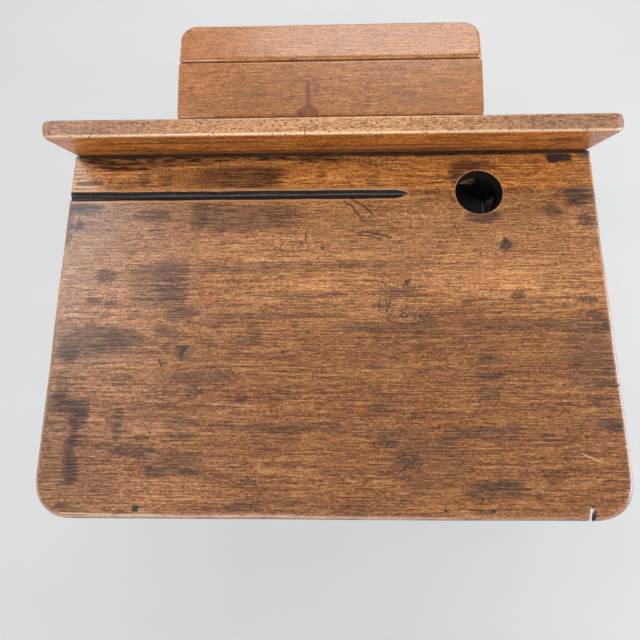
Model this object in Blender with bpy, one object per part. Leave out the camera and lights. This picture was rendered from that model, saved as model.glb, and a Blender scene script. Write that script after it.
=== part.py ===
# A school desk of wood on two cast-iron standards. The desktop and its book shelf serve one
# pupil, and the board behind the desktop is the top of the back of the seat in front, which
# folds up on two pivot bolts.

import math

import bmesh
import bpy
import numpy as np
from mathutils import Matrix, Vector
from mathutils.geometry import delaunay_2d_cdt

for old in list(bpy.data.objects):
    bpy.data.objects.remove(old, do_unlink=True)

# X runs to the right, Y from the pupil towards the seat in front, and Z up. Places are given
# from the seam, the line where the top of the desktop meets the back, and from the floor.

# Main sizes
DESK_WIDTH = 0.610
DESK_DEPTH = 0.406
SEAM_HEIGHT = 0.745
DESK_SLOPE = math.radians(2.5)
BACK_LEAN = math.radians(19.5)
FIT_GAP = 0.0003
OVERRUN = 0.004

# Desktop
DESK_THICK = 0.019
DESK_CORNER = 0.046
DESK_ROUND = 0.0045
GROOVE_FROM_SEAM = 0.053
GROOVE_WIDTH = 0.0105
GROOVE_DEPTH = 0.0062
GROOVE_END_FROM_RIGHT = 0.214
GROOVE_TIP = 0.018
GROOVE_TIP_SHARES = ((0.35, 0.86), (0.7, 0.5), (0.9, 0.2))
INK_HOLE = 0.053
INK_FROM_RIGHT = 0.1335
INK_FROM_SEAM = 0.0517

# Back: the top board and two slats, measured along their lean
BACK_THICK = 0.018
BACK_RISE = 0.0715
TOP_BOARD = 0.215
TOP_CORNER = 0.013
SLAT = 0.070
SLAT_GAP = 0.022
SLAT_CORNER = 0.012
BACK_ROUND = 0.003

# Book shelf
BOX_HEIGHT = 0.120
SHELF_THICK = 0.012
SHELF_DEPTH = 0.330
SHELF_ROUND = 0.002
SHELF_SIDE_GAP = 0.001

# Cast-iron standards, drawn in side view, with half thicknesses along X
STANDARD_INSET = 0.075
WEB_HALF = 0.0025
BEAD_HALF = 0.006
BEAD = 0.008
SCROLL_HALF = 0.0045
SCROLL_BAR = 0.0075
RAIL = 0.005
RAIL_HALF = 0.018
RAIL_END = 0.002
TOP_RAIL_SHARE = 0.80
COLUMN = 0.036
REAR_LEG = 0.038
LEG_FOOT = 0.028
BRACKET = 0.024
SCROLL_SEAT = 0.0018
FOOT_THICK = 0.009
FOOT_HALF = 0.024
FOOT_LENGTH = 0.080
REAR_FOOT = 0.165
FRONT_FOOT = 0.262
FLOOR_HOLE = 0.0075
FLOOR_HOLE_OFFSET = 0.014

# Seat: three boards on two arms, each board with its own slope
SEAT_LOW = 0.4295
SEAT_THICK = 0.018
SEAT_GAP = 0.004
SEAT_ROUND = 0.004
SEAT_NOSE = 0.007
SEAT_CORNER = 0.009
SEAT_BACK_CORNER = 0.005
SEAT_NOSE_CORNER = 0.034
REAR_BOARD = 0.121
MIDDLE_BOARD = 0.116
FRONT_BOARD = 0.086
REAR_SLOPE = math.radians(-6)
MIDDLE_SLOPE = math.radians(9.4)
FRONT_SLOPE = math.radians(2)

# Seat hinge
PIVOT_DROP = 0.0375
PIVOT_CLEAR = 0.0837
PIVOT_FROM_CREASE = 0.091
SEAT_FOLD = math.radians(100)
BOSS_RADIUS = 0.017
BOSS_HALF = 0.010
HINGE_FOOT = 0.044
HINGE_HEAD = 0.030
HUB_RADIUS = 0.019
HUB_HALF = 0.006
ARM_WEB_HALF = 0.003
ARM_FLANGE = 0.005
ARM_FLANGE_HALF = 0.012
ARM_FLANGE_SET_BACK = 0.006
ARM_TIP = 0.013
HEEL = 0.012
HEEL_LENGTH = 0.052
STOP_TOP = 0.026
STOP_BASE = 0.055
STOP_WIDTH = 0.017
BOLT_RADIUS = 0.005
BOLT_HEAD = 0.011
BOLT_HEAD_THICK = 0.005
BOLT_TAIL = 0.003
NUT_WIDTH = 0.016
NUT_THICK = 0.008

# Wood screws
SCREW_RADIUS = 0.0021
SCREW_HEAD = 0.0040
SCREW_HEAD_THICK = 0.0025
SCREW_BITE = 0.010
SCREW_TIP = 0.003
SCREW_OFFSET = 0.0125
ARM_SCREW_OFFSET = 0.0075

# Counts of sides and steps
CORNER_STEPS = 5
ROUND_STEPS = 2
HOLE_SIDES = 36
BORE_SIDES = 16
SCREW_SIDES = 6
PATH_STEPS = 3
RING_STEPS = 18
CURL_STEPS = 12
BOSS_SIDES = 20
NUT_SIDES = 12
COLUMN_STEPS = 4
ROUND_PROFILE = 0.5
SMOOTH_ANGLE = math.radians(35)
MERGE = 0.00002
FLAT_ANGLE = math.radians(0.3)

# Lines that the pieces share
STANDARD_X = DESK_WIDTH / 2 - STANDARD_INSET
RAKE = BACK_LEAN - DESK_SLOPE
BACK_BOTTOM = TOP_BOARD - BACK_RISE
LOW_SLAT_BOTTOM = BACK_BOTTOM + 2 * (SLAT_GAP + SLAT)
SHELF_TOP = SEAM_HEIGHT - DESK_THICK - BOX_HEIGHT
PIVOT_HEIGHT = SEAT_LOW - PIVOT_DROP


def back_line(height):
    """Y of the side of the back that faces the pupil, at a height above the floor."""
    return (SEAM_HEIGHT - height) * math.tan(BACK_LEAN)


def rail_under_desk(reach):
    """Height of the top of the iron rail under the desktop, at a reach of Y from the seam."""
    return SEAM_HEIGHT - (DESK_THICK + FIT_GAP) / math.cos(DESK_SLOPE) + reach * math.tan(DESK_SLOPE)


PIVOT = np.array((back_line(PIVOT_HEIGHT) + PIVOT_CLEAR, PIVOT_HEIGHT))
CREASE = np.array((PIVOT[0] + PIVOT_FROM_CREASE, SEAT_LOW))


def heading(angle):
    """Unit step in side view, at an angle from Y towards Z."""
    return np.array((math.cos(angle), math.sin(angle)))


def normal(angle):
    """Unit step square to a heading, a quarter turn on."""
    return heading(angle + math.pi / 2)


# The seat's boards run forward and back from the crease
REAR_START = CREASE - (SEAT_GAP / 2 + REAR_BOARD) * heading(REAR_SLOPE)
MIDDLE_START = CREASE + SEAT_GAP / 2 * heading(MIDDLE_SLOPE)
FRONT_START = MIDDLE_START + (MIDDLE_BOARD + SEAT_GAP) * heading(MIDDLE_SLOPE)
SEAT_BOARDS = (
    ("seat_board_rear", REAR_START, REAR_BOARD, REAR_SLOPE),
    ("seat_board_middle", MIDDLE_START, MIDDLE_BOARD, MIDDLE_SLOPE),
    ("seat_board_front", FRONT_START, FRONT_BOARD, FRONT_SLOPE),
)

# The part's own origin is under the middle of its box, so the seam lies this far along Y
DESK_REACH = DESK_DEPTH * math.cos(DESK_SLOPE) - DESK_ROUND * math.sin(DESK_SLOPE)
SEAT_FRONT = FRONT_START + FRONT_BOARD * heading(FRONT_SLOPE) - SEAT_NOSE * normal(FRONT_SLOPE)
SEAM_Y = (DESK_REACH - SEAT_FRONT[0]) / 2


# Finishes
def finish(name, colour, roughness, metallic):
    """A Principled material with one colour, roughness and metallic value."""
    material = bpy.data.materials.new(name)
    material.use_nodes = True
    shader = material.node_tree.nodes["Principled BSDF"]
    shader.inputs["Base Color"].default_value = (*colour, 1)
    shader.inputs["Roughness"].default_value = roughness
    shader.inputs["Metallic"].default_value = metallic
    return material


WOOD = finish("waxed_hardwood", (0.36, 0.15, 0.06), 0.42, 0)
IRON = finish("black_cast_iron", (0.03, 0.03, 0.03), 0.55, 0.6)
STEEL = finish("dark_steel", (0.14, 0.13, 0.12), 0.45, 0.9)

# Empties that carry the pieces: the seam on the floor, and the seat's hinge line
desk = bpy.data.objects.new("desk_frame", None)
desk.location = (0, SEAM_Y, 0)
bpy.context.scene.collection.objects.link(desk)
hinge = bpy.data.objects.new("seat_hinge", None)
hinge.location = (0, SEAM_Y + PIVOT[0], PIVOT[1])
bpy.context.scene.collection.objects.link(hinge)


def frame_at(spot, tilt, x=0):
    """Place in a carrier's frame: a side-view spot, turned about X by the tilt."""
    return Matrix.Translation((x, spot[0], spot[1])) @ Matrix.Rotation(tilt, 4, "X")


def add(name, mesh, frame, carrier, material):
    """Put a mesh into the scene on its carrier, shaded smooth across its round stretches."""
    piece = bpy.data.objects.new(name, mesh)
    bpy.context.scene.collection.objects.link(piece)
    piece.parent = carrier
    piece.location = frame.to_translation()
    piece.rotation_euler = frame.to_euler()
    if not mesh.materials:
        mesh.materials.append(material)
        mesh.shade_smooth()
        mesh.set_sharp_from_angle(angle=SMOOTH_ANGLE)
    return piece


def boolean(piece, tool, operation):
    """Cut a tool from a piece, or join it on, with a live modifier."""
    modifier = piece.modifiers.new(operation.lower() + "_" + tool.name, "BOOLEAN")
    modifier.operation = operation
    modifier.solver = "EXACT"
    modifier.object = tool


def add_tool(name, mesh, frame, carrier):
    """A cutter or a joined lump, kept out of the finished part."""
    tool = bpy.data.objects.new(name, mesh)
    bpy.context.scene.collection.objects.link(tool)
    tool.parent = carrier
    tool.location = frame.to_translation()
    tool.rotation_euler = frame.to_euler()
    tool.hide_render = True
    tool.display_type = "WIRE"
    return tool


def mesh_from(name, bm):
    """Turn a bmesh into a mesh and free it."""
    mesh = bpy.data.meshes.new(name)
    bm.to_mesh(mesh)
    bm.free()
    return mesh


# Wooden boards
def rounded_outline(half, low, high, low_radius, high_radius):
    """Outline of a board from above, counter-clockwise, with its own radius at each end."""
    corners = (
        (half, low, low_radius, -90),
        (half, high, high_radius, 0),
        (-half, high, high_radius, 90),
        (-half, low, low_radius, 180),
    )
    outline = []
    for x, y, radius, start in corners:
        if radius == 0:
            outline.append((x, y))
            continue
        centre_x = x - math.copysign(radius, x)
        centre_y = y + radius if y == low else y - radius
        for step in range(CORNER_STEPS + 1):
            angle = math.radians(start + 90 * step / CORNER_STEPS)
            outline.append((centre_x + radius * math.cos(angle), centre_y + radius * math.sin(angle)))
    return outline


def board_mesh(name, length, low, high, thick, radii, edge, square_back=False, rake=0):
    """A board with its face at z = 0: outline extruded down, then its arrises rounded over.

    A square back keeps its edge sharp and is raked to lie against a leaning neighbour.
    """
    outline = rounded_outline(length / 2, low, high, *radii)
    bm = bmesh.new()
    over = [bm.verts.new((x, y, 0)) for x, y in outline]
    under = [bm.verts.new((x, y, -thick)) for x, y in outline]
    bm.faces.new(over)
    bm.faces.new(list(reversed(under)))
    for i in range(len(outline)):
        j = (i + 1) % len(outline)
        bm.faces.new((under[i], under[j], over[j], over[i]))
    arrises = []
    for line in bm.edges:
        first, last = line.verts
        at_back = first.co.y == high and last.co.y == high
        if first.co.z == last.co.z and not (square_back and at_back):
            arrises.append(line)
    for vert in under:
        if vert.co.y == high:
            vert.co.y += thick * math.tan(rake)
    bmesh.ops.bevel(bm, geom=arrises, offset=edge, segments=ROUND_STEPS, profile=ROUND_PROFILE,
                    affect="EDGES", clamp_overlap=True)
    return mesh_from(name, bm)


# Turned pieces, holes and nuts
def turned_mesh(name, profile, sides):
    """Turn a profile of (radius, height) points about Z, from its lower pole to its upper one."""
    bm = bmesh.new()
    rings = []
    for radius, height in profile:
        if radius == 0:
            rings.append([bm.verts.new((0, 0, height))])
            continue
        turns = np.arange(sides) * (2 * math.pi / sides)
        rings.append([bm.verts.new((radius * math.cos(a), radius * math.sin(a), height)) for a in turns])
    for lower, upper in zip(rings, rings[1:]):
        for i in range(sides):
            j = (i + 1) % sides
            if len(lower) == 1:
                bm.faces.new((lower[0], upper[j], upper[i]))
            elif len(upper) == 1:
                bm.faces.new((lower[i], lower[j], upper[0]))
            else:
                bm.faces.new((lower[i], lower[j], upper[j], upper[i]))
    return mesh_from(name, bm)


def rods_mesh(name, places, radius, start, end, sides):
    """Straight rods along the Z axis of each place, from start to end."""
    bm = bmesh.new()
    for place in places:
        turns = np.arange(sides) * (2 * math.pi / sides)
        ring = [(radius * math.cos(a), radius * math.sin(a)) for a in turns]
        low = [bm.verts.new(place @ Vector((x, y, start))) for x, y in ring]
        high = [bm.verts.new(place @ Vector((x, y, end))) for x, y in ring]
        bm.faces.new(list(reversed(low)))
        bm.faces.new(high)
        for i in range(sides):
            j = (i + 1) % sides
            bm.faces.new((low[i], low[j], high[j], high[i]))
    return mesh_from(name, bm)


def nut_mesh(name, across, bore, thick):
    """A six-sided nut round Z, from z = 0 up, with its bore."""
    bm = bmesh.new()
    loops = []
    for height in (0, thick):
        outer = []
        inner = []
        for i in range(NUT_SIDES):
            angle = 2 * math.pi * i / NUT_SIDES
            reach = across / 2 if i % 2 else across / 2 / math.cos(math.pi / 6)
            outer.append(bm.verts.new((reach * math.cos(angle), reach * math.sin(angle), height)))
            inner.append(bm.verts.new((bore * math.cos(angle), bore * math.sin(angle), height)))
        loops.append((outer, inner))
    (low_out, low_in), (high_out, high_in) = loops
    for i in range(NUT_SIDES):
        j = (i + 1) % NUT_SIDES
        bm.faces.new((low_out[i], low_out[j], high_out[j], high_out[i]))
        bm.faces.new((low_in[j], low_in[i], high_in[i], high_in[j]))
        bm.faces.new((high_out[i], high_out[j], high_in[j], high_in[i]))
        bm.faces.new((low_out[j], low_out[i], low_in[i], low_in[j]))
    return mesh_from(name, bm)


# Castings, drawn as flat patterns in side view
def smooth_path(points):
    """A smooth path through hand-placed points (Catmull-Rom), a few steps to each span."""
    points = np.asarray(points, dtype=float)
    ends = np.vstack((2 * points[0] - points[1], points, 2 * points[-1] - points[-2]))
    share = np.arange(PATH_STEPS)[:, None] / PATH_STEPS
    spans = []
    for a, b, c, d in zip(ends, ends[1:], ends[2:], ends[3:]):
        bend = (2 * a - 5 * b + 4 * c - d) * share**2 + (3 * b - 3 * c + d - a) * share**3
        spans.append(b + ((c - a) * share + bend) / 2)
    return np.vstack(spans + [points[-1:]])


def band(path, widths, shift=0):
    """Outline of a band along a path: each side lies half a width off the shifted path."""
    step = np.gradient(path, axis=0)
    side = np.column_stack((-step[:, 1], step[:, 0])) / np.linalg.norm(step, axis=1)[:, None]
    widths = np.broadcast_to(np.asarray(widths, dtype=float).ravel(), len(path))[:, None]
    shift = np.broadcast_to(np.asarray(shift, dtype=float).ravel(), len(path))[:, None]
    left = path + side * (shift + widths / 2)
    right = path + side * (shift - widths / 2)
    return np.vstack((left, right[::-1]))


def ribbed_member(points, start_width, end_width):
    """A thin web with a thicker bead along each edge, tapering from one width to the other."""
    path = smooth_path(points)
    widths = np.linspace(start_width, end_width, len(path))
    off = (widths - BEAD) / 2
    return [
        (band(path, widths - BEAD), WEB_HALF),
        (band(path, BEAD, off), BEAD_HALF),
        (band(path, BEAD, -off), BEAD_HALF),
    ]


def strip(first, last, side, thick, half):
    """A straight rail: the line from first to last, thickened to one side."""
    first, last, side = np.asarray(first), np.asarray(last), np.asarray(side)
    return [(np.array((first, last, last + thick * side, first + thick * side)), half)]


def disc(centre, radius, half, sides):
    """A round boss."""
    turns = np.arange(sides) * (2 * math.pi / sides)
    return [(np.asarray(centre) + radius * np.column_stack((np.cos(turns), np.sin(turns))), half)]


HALF_SHARE = 0.5
SCROLL_EYE_SHARE = 0.30
CURL_TURNS = 0.88
CURL_LEAST_SHARE = 2.6
RING_LEAST_SHARE = 1.2
BALL_SHARE = 0.85


def arc(centre, start, turns, reach, steps):
    """Points round a centre from a start angle, over some turns, at one reach or one for each."""
    angle = start + np.linspace(0, turns, steps) * 2 * math.pi
    reach = np.broadcast_to(reach, len(angle))[:, None]
    return np.asarray(centre) + reach * np.column_stack((np.cos(angle), np.sin(angle)))


def scroll(centre, radius, start, hand):
    """A closed ring with a curl inside that runs from it to a round eye.

    The curl's radius falls from the ring's to the eye's share of it as half a cosine wave.
    A small ring has no curl, and a gap too low for a ring of its own bar has none.
    """
    if radius < RING_LEAST_SHARE * SCROLL_BAR:
        return []
    steps = RING_STEPS // 2 + 1
    regions = [(band(arc(centre, start + turn, HALF_SHARE, radius, steps), SCROLL_BAR), SCROLL_HALF)
               for turn in (0, math.pi)]
    if radius < CURL_LEAST_SHARE * SCROLL_BAR:
        return regions
    fall = (1 - np.cos(np.linspace(0, math.pi, CURL_STEPS))) / 2
    curl = arc(centre, start, hand * CURL_TURNS, radius * (1 - (1 - SCROLL_EYE_SHARE) * fall), CURL_STEPS)
    regions.append((band(curl, SCROLL_BAR), SCROLL_HALF))
    return regions + disc(curl[-1], SCROLL_BAR * BALL_SHARE, BEAD_HALF, BOSS_SIDES // 2)


def casting_mesh(name, regions):
    """A flat pattern cast in iron: where outlines overlap, the thickest region wins.

    The outlines are laid over each other in the plane (y, z) and cut into triangles. Each
    triangle becomes a slab from -half to +half along X, and a wall closes each step between
    neighbours. A wall carries every level that meets at its ends, so that the solid is closed.
    """
    coords = []
    faces = []
    for outline, _ in regions:
        turn = np.roll(outline, -1, axis=0)
        area = np.sum(outline[:, 0] * turn[:, 1] - turn[:, 0] * outline[:, 1])
        ordered = outline if area > 0 else outline[::-1]
        faces.append(list(range(len(coords), len(coords) + len(ordered))))
        coords.extend(Vector(point) for point in ordered)
    points, _, triangles, _, _, origins = delaunay_2d_cdt(coords, [], faces, 1, MERGE, True)
    inside = [(triangle, origin) for triangle, origin in zip(triangles, origins) if origin]
    triangles = [triangle for triangle, _ in inside]
    levels = [max(regions[i][1] for i in origin) for _, origin in inside]
    met = [set() for _ in points]
    beside = {}
    for triangle, level in zip(triangles, levels):
        for i, point in enumerate(triangle):
            met[point].update((level, -level))
            beside[(point, triangle[(i + 1) % len(triangle)])] = level
    bm = bmesh.new()
    made = {}

    def vert(point, level):
        if (point, level) not in made:
            made[(point, level)] = bm.verts.new((level, points[point][0], points[point][1]))
        return made[(point, level)]

    for triangle, level in zip(triangles, levels):
        bm.faces.new([vert(point, level) for point in triangle])
        bm.faces.new([vert(point, -level) for point in reversed(triangle)])
    for (first, last), level in beside.items():
        other = beside.get((last, first), 0)
        if other >= level:
            continue
        for low, high in (((-level, level),) if other == 0 else ((-level, -other), (other, level))):
            up = [x for x in sorted(met[last]) if low < x < high]
            down = [x for x in sorted(met[first], reverse=True) if low < x < high]
            wall = [vert(first, low), vert(last, low)] + [vert(last, x) for x in up]
            wall += [vert(last, high), vert(first, high)] + [vert(first, x) for x in down]
            bm.faces.new(wall)
    bmesh.ops.dissolve_limit(bm, angle_limit=FLAT_ANGLE, verts=bm.verts[:], edges=bm.edges[:])
    return mesh_from(name, bm)


def between(start, end, shares):
    """Points between two anchors, from shares of the way along Y and along Z."""
    start, end = np.asarray(start), np.asarray(end)
    return [start + np.array(share) * (end - start) for share in shares]


# The wooden pieces of the desk
SEAM = np.array((0, SEAM_HEIGHT))
desk_plane = frame_at(SEAM, DESK_SLOPE)
back_plane = frame_at(SEAM, BACK_LEAN + math.pi / 2)
shelf_back = back_line(SHELF_TOP) - (RAIL + 2 * FIT_GAP) / math.cos(BACK_LEAN) - SHELF_SIDE_GAP
shelf_plane = frame_at((shelf_back, SHELF_TOP), 0)
shelf_width = 2 * (STANDARD_X - BEAD_HALF - SHELF_SIDE_GAP)

SEAM_GAP = FIT_GAP / math.cos(RAKE)
desktop_mesh = board_mesh("desktop", DESK_WIDTH, -DESK_DEPTH, -SEAM_GAP, DESK_THICK,
                          (DESK_CORNER, 0), DESK_ROUND, True, RAKE)
desktop = add("desktop", desktop_mesh, desk_plane, desk, WOOD)
top_board_mesh = board_mesh("back_top_board", DESK_WIDTH, -BACK_BOTTOM, BACK_RISE, BACK_THICK,
                            (SLAT_CORNER / 2, TOP_CORNER), BACK_ROUND)
top_board = add("back_top_board", top_board_mesh, back_plane, desk, WOOD)
slat_mesh = board_mesh("back_slat", DESK_WIDTH, 0, SLAT, BACK_THICK, (SLAT_CORNER, SLAT_CORNER), BACK_ROUND)
middle_low = -(BACK_BOTTOM + SLAT_GAP + SLAT)
middle_plane = back_plane @ Matrix.Translation((0, middle_low, 0))
middle_slat = add("back_middle_slat", slat_mesh, middle_plane, desk, WOOD)
lower_plane = back_plane @ Matrix.Translation((0, -LOW_SLAT_BOTTOM, 0))
lower_slat = add("back_lower_slat", slat_mesh, lower_plane, desk, WOOD)
shelf_mesh = board_mesh("book_shelf", shelf_width, -SHELF_DEPTH, 0, SHELF_THICK,
                        (SLAT_CORNER, 0), SHELF_ROUND)
shelf = add("book_shelf", shelf_mesh, shelf_plane, desk, WOOD)

# Pencil groove: a round-bottomed channel that runs in from the left end and narrows to a point
def groove_mesh():
    """The groove's cutter: one section, carried along X and drawn in to a point at its tip."""
    radius = GROOVE_WIDTH / 2
    end = DESK_WIDTH / 2 - GROOVE_END_FROM_RIGHT
    stations = [(-DESK_WIDTH / 2 - OVERRUN, 1), (end - GROOVE_TIP, 1)]
    stations += [(end - GROOVE_TIP * (1 - along), wide) for along, wide in GROOVE_TIP_SHARES]
    turns = np.linspace(0, math.pi, CORNER_STEPS + 1)
    bm = bmesh.new()
    sections = []
    for x, wide in stations:
        round_part = [(-radius * wide * math.cos(a), -(GROOVE_DEPTH - radius + radius * math.sin(a)) * wide)
                      for a in turns]
        section = round_part + [(radius * wide, OVERRUN), (-radius * wide, OVERRUN)]
        sections.append([bm.verts.new((x, y - GROOVE_FROM_SEAM, z)) for y, z in section])
    tip = bm.verts.new((end, -GROOVE_FROM_SEAM, OVERRUN))
    for i in range(len(sections[0])):
        j = (i + 1) % len(sections[0])
        for near, far in zip(sections, sections[1:]):
            bm.faces.new((near[i], near[j], far[j], far[i]))
        bm.faces.new((sections[-1][i], sections[-1][j], tip))
    bm.faces.new(list(reversed(sections[0])))
    bmesh.ops.recalc_face_normals(bm, faces=bm.faces[:])
    return mesh_from("groove_cutter", bm)


boolean(desktop, add_tool("groove_cutter", groove_mesh(), desk_plane, desk), "DIFFERENCE")

# Ink hole
ink_x = DESK_WIDTH / 2 - INK_FROM_RIGHT
ink_place = Matrix.Translation((ink_x, -INK_FROM_SEAM, 0))
ink_mesh = rods_mesh("ink_cutter", [ink_place], INK_HOLE / 2, -DESK_THICK - OVERRUN, OVERRUN, HOLE_SIDES)
boolean(desktop, add_tool("ink_cutter", ink_mesh, desk_plane, desk), "DIFFERENCE")

# The seat's boards, placed from the hinge line
seat_boards = {}
seat_planes = {}
for name, start, width, slope in SEAT_BOARDS:
    nose = name == "seat_board_front"
    radii = (SEAT_CORNER, SEAT_NOSE_CORNER) if nose else (SEAT_BACK_CORNER, SEAT_BACK_CORNER)
    mesh = board_mesh(name, DESK_WIDTH, 0, width, SEAT_THICK, radii, SEAT_NOSE if nose else SEAT_ROUND)
    seat_planes[name] = frame_at(start - PIVOT, slope)
    seat_boards[name] = add(name, mesh, seat_planes[name], hinge, WOOD)

# Screws: each place has its head's seat at z = 0 and its tip along +Z
UP = Matrix.Identity(4)
DOWN = Matrix.Rotation(math.pi, 4, "X")
iron_side = DESK_THICK + RAIL + 2 * FIT_GAP


def screw_places(plane, across, along, depth, way):
    """Places for screws at each across and along in a board's plane, heads at the depth."""
    return [plane @ Matrix.Translation((x, y, depth)) @ way for x in across for y in along]


def side_pair(offset):
    """The same offset from both standards, positive away from the middle."""
    return (-STANDARD_X - offset, STANDARD_X + offset)


DESK_SCREW_SHARES = (0.10, 0.42, 0.74)
TOP_BOARD_SCREW_SHARES = (0.25, 0.80)
SHELF_BITE_SHARE = 0.6
DOME_SHARE = 0.72
SHELF_SCREW_SHARES = (0.15, 0.85)
SEAT_SCREW_SHARES = (0.25, 0.75)

desk_rows = [-share * DESK_DEPTH for share in DESK_SCREW_SHARES]
top_rows = [-share * BACK_BOTTOM for share in TOP_BOARD_SCREW_SHARES]
shelf_rows = [-share * SHELF_DEPTH for share in SHELF_SCREW_SHARES]
back_side = RAIL + 2 * FIT_GAP
inner = side_pair(-SCREW_OFFSET)
both = side_pair(-SCREW_OFFSET) + side_pair(SCREW_OFFSET)
slat_rows = [HALF_SHARE * SLAT]
shelf_side = -SHELF_THICK - RAIL - 2 * FIT_GAP
screws = {
    "desktop_screw": screw_places(desk_plane, inner, desk_rows, -iron_side, UP),
    "top_board_screw": screw_places(back_plane, inner, top_rows, back_side, DOWN),
    "middle_slat_screw": screw_places(middle_plane, both, slat_rows, back_side, DOWN),
    "lower_slat_screw": screw_places(lower_plane, both, slat_rows, back_side, DOWN),
    "shelf_screw": screw_places(shelf_plane, inner, shelf_rows, shelf_side, UP),
}
screwed = {
    "desktop_screw": desktop,
    "top_board_screw": top_board,
    "middle_slat_screw": middle_slat,
    "lower_slat_screw": lower_slat,
    "shelf_screw": shelf,
}


def headed(head, thick):
    """Profile of a domed head that stands on z = 0."""
    return [(0, -thick), (head * DOME_SHARE, -thick * DOME_SHARE), (head, 0)]


def screw_mesh(name, bite):
    """A round-headed wood screw through the iron, its bite in the wood, to a point."""
    length = RAIL + FIT_GAP + bite
    profile = headed(SCREW_HEAD, SCREW_HEAD_THICK)
    profile += [(SCREW_RADIUS, 0), (SCREW_RADIUS, length - SCREW_TIP), (0, length)]
    return turned_mesh(name, profile, SCREW_SIDES)


# A pilot hole is round the screw by the fit gap, and a little deeper
SCREW_LENGTH = RAIL + FIT_GAP + SCREW_BITE
SHELF_BITE = SHELF_THICK * SHELF_BITE_SHARE
wood_screw = screw_mesh("wood_screw", SCREW_BITE)
shelf_screw = screw_mesh("shelf_screw", SHELF_BITE)
pilots = []
for kind, places in screws.items():
    mesh = shelf_screw if kind == "shelf_screw" else wood_screw
    reach = SCREW_LENGTH + FIT_GAP if kind != "shelf_screw" else RAIL + SHELF_BITE + 2 * FIT_GAP
    for number, place in enumerate(places, 1):
        add(f"{kind}_{number}", mesh, place, desk, STEEL)
    hole = rods_mesh(kind + "_pilots", places, SCREW_RADIUS + FIT_GAP, -OVERRUN / 2, reach, SCREW_SIDES)
    pilots.append(add_tool(kind + "_pilots", hole, Matrix.Identity(4), desk))
    boolean(screwed[kind], pilots[-1], "DIFFERENCE")

arm_x = STANDARD_X - BOSS_HALF - FIT_GAP - HUB_HALF
arm_rows = (arm_x - ARM_SCREW_OFFSET, -arm_x + ARM_SCREW_OFFSET)
arm_pilots = []
count = 0
for name, start, width, slope in SEAT_BOARDS:
    rows = [share * width for share in SEAT_SCREW_SHARES]
    depth = -SEAT_THICK - ARM_FLANGE - 2 * FIT_GAP
    places = screw_places(seat_planes[name], arm_rows, rows, depth, UP)
    for place in places:
        count += 1
        add(f"seat_screw_{count}", wood_screw, place, hinge, STEEL)
    hole = rods_mesh(name + "_pilots", places, SCREW_RADIUS + FIT_GAP, -OVERRUN / 2,
                     SCREW_LENGTH + FIT_GAP, SCREW_SIDES)
    arm_pilots.append(add_tool(name + "_pilots", hole, Matrix.Identity(4), hinge))
    boolean(seat_boards[name], arm_pilots[-1], "DIFFERENCE")

# The standard in side view
LEG_FORK_SHARE = 0.80
fork_height = PIVOT_HEIGHT * LEG_FORK_SHARE
column_half = COLUMN / 2
column_top = rail_under_desk(0) - RAIL / 2 - column_half * math.sin(BACK_LEAN)
REAR_LEG_SHARES = ((0.10, -0.24), (0.02, -0.04), (0.06, 0.16), (0.22, 0.38), (0.50, 0.55), (0.76, 0.68),
                   (0.93, 0.86), (1, 0.98))
FRONT_LEG_SHARES = ((0.15, 0.22), (0.40, 0.47), (0.72, 0.76), (1, 0.974))
BRACKET_SHARES = ((0, 0), (0.20, 0.14), (0.42, 0.26), (0.66, 0.36), (0.87, 0.50), (0.99, 0.74), (1, 1))
BRACKET_ROOT_SHARE = 0.38
HINGE_SHARES = ((0, 0), (0.40, 0.26), (0.88, 0.54), (1, 1))
HINGE_ROOT_SHARE = 0.42
SPANDREL_SHARES = (0.17, 0.42, 0.61, 0.75)
PANEL_SHARES = (0.27, 0.68)
LEG_SCROLL_SHARE = 0.31
LEG_SCROLL_LEVEL_SHARE = 0.38
LEG_SCROLL_REACH_SHARE = 0.30
TIE_REAR_SHARE = (0.50, 0.55)
TIE_FRONT_SHARE = (0.50, 0.56)
SCROLL_FACING = math.radians(-90)


def on_column(height):
    """The middle of the column at a height: half its width behind the rail on its face."""
    return np.array((back_line(height) - (FIT_GAP + column_half) / math.cos(BACK_LEAN), height))


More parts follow.
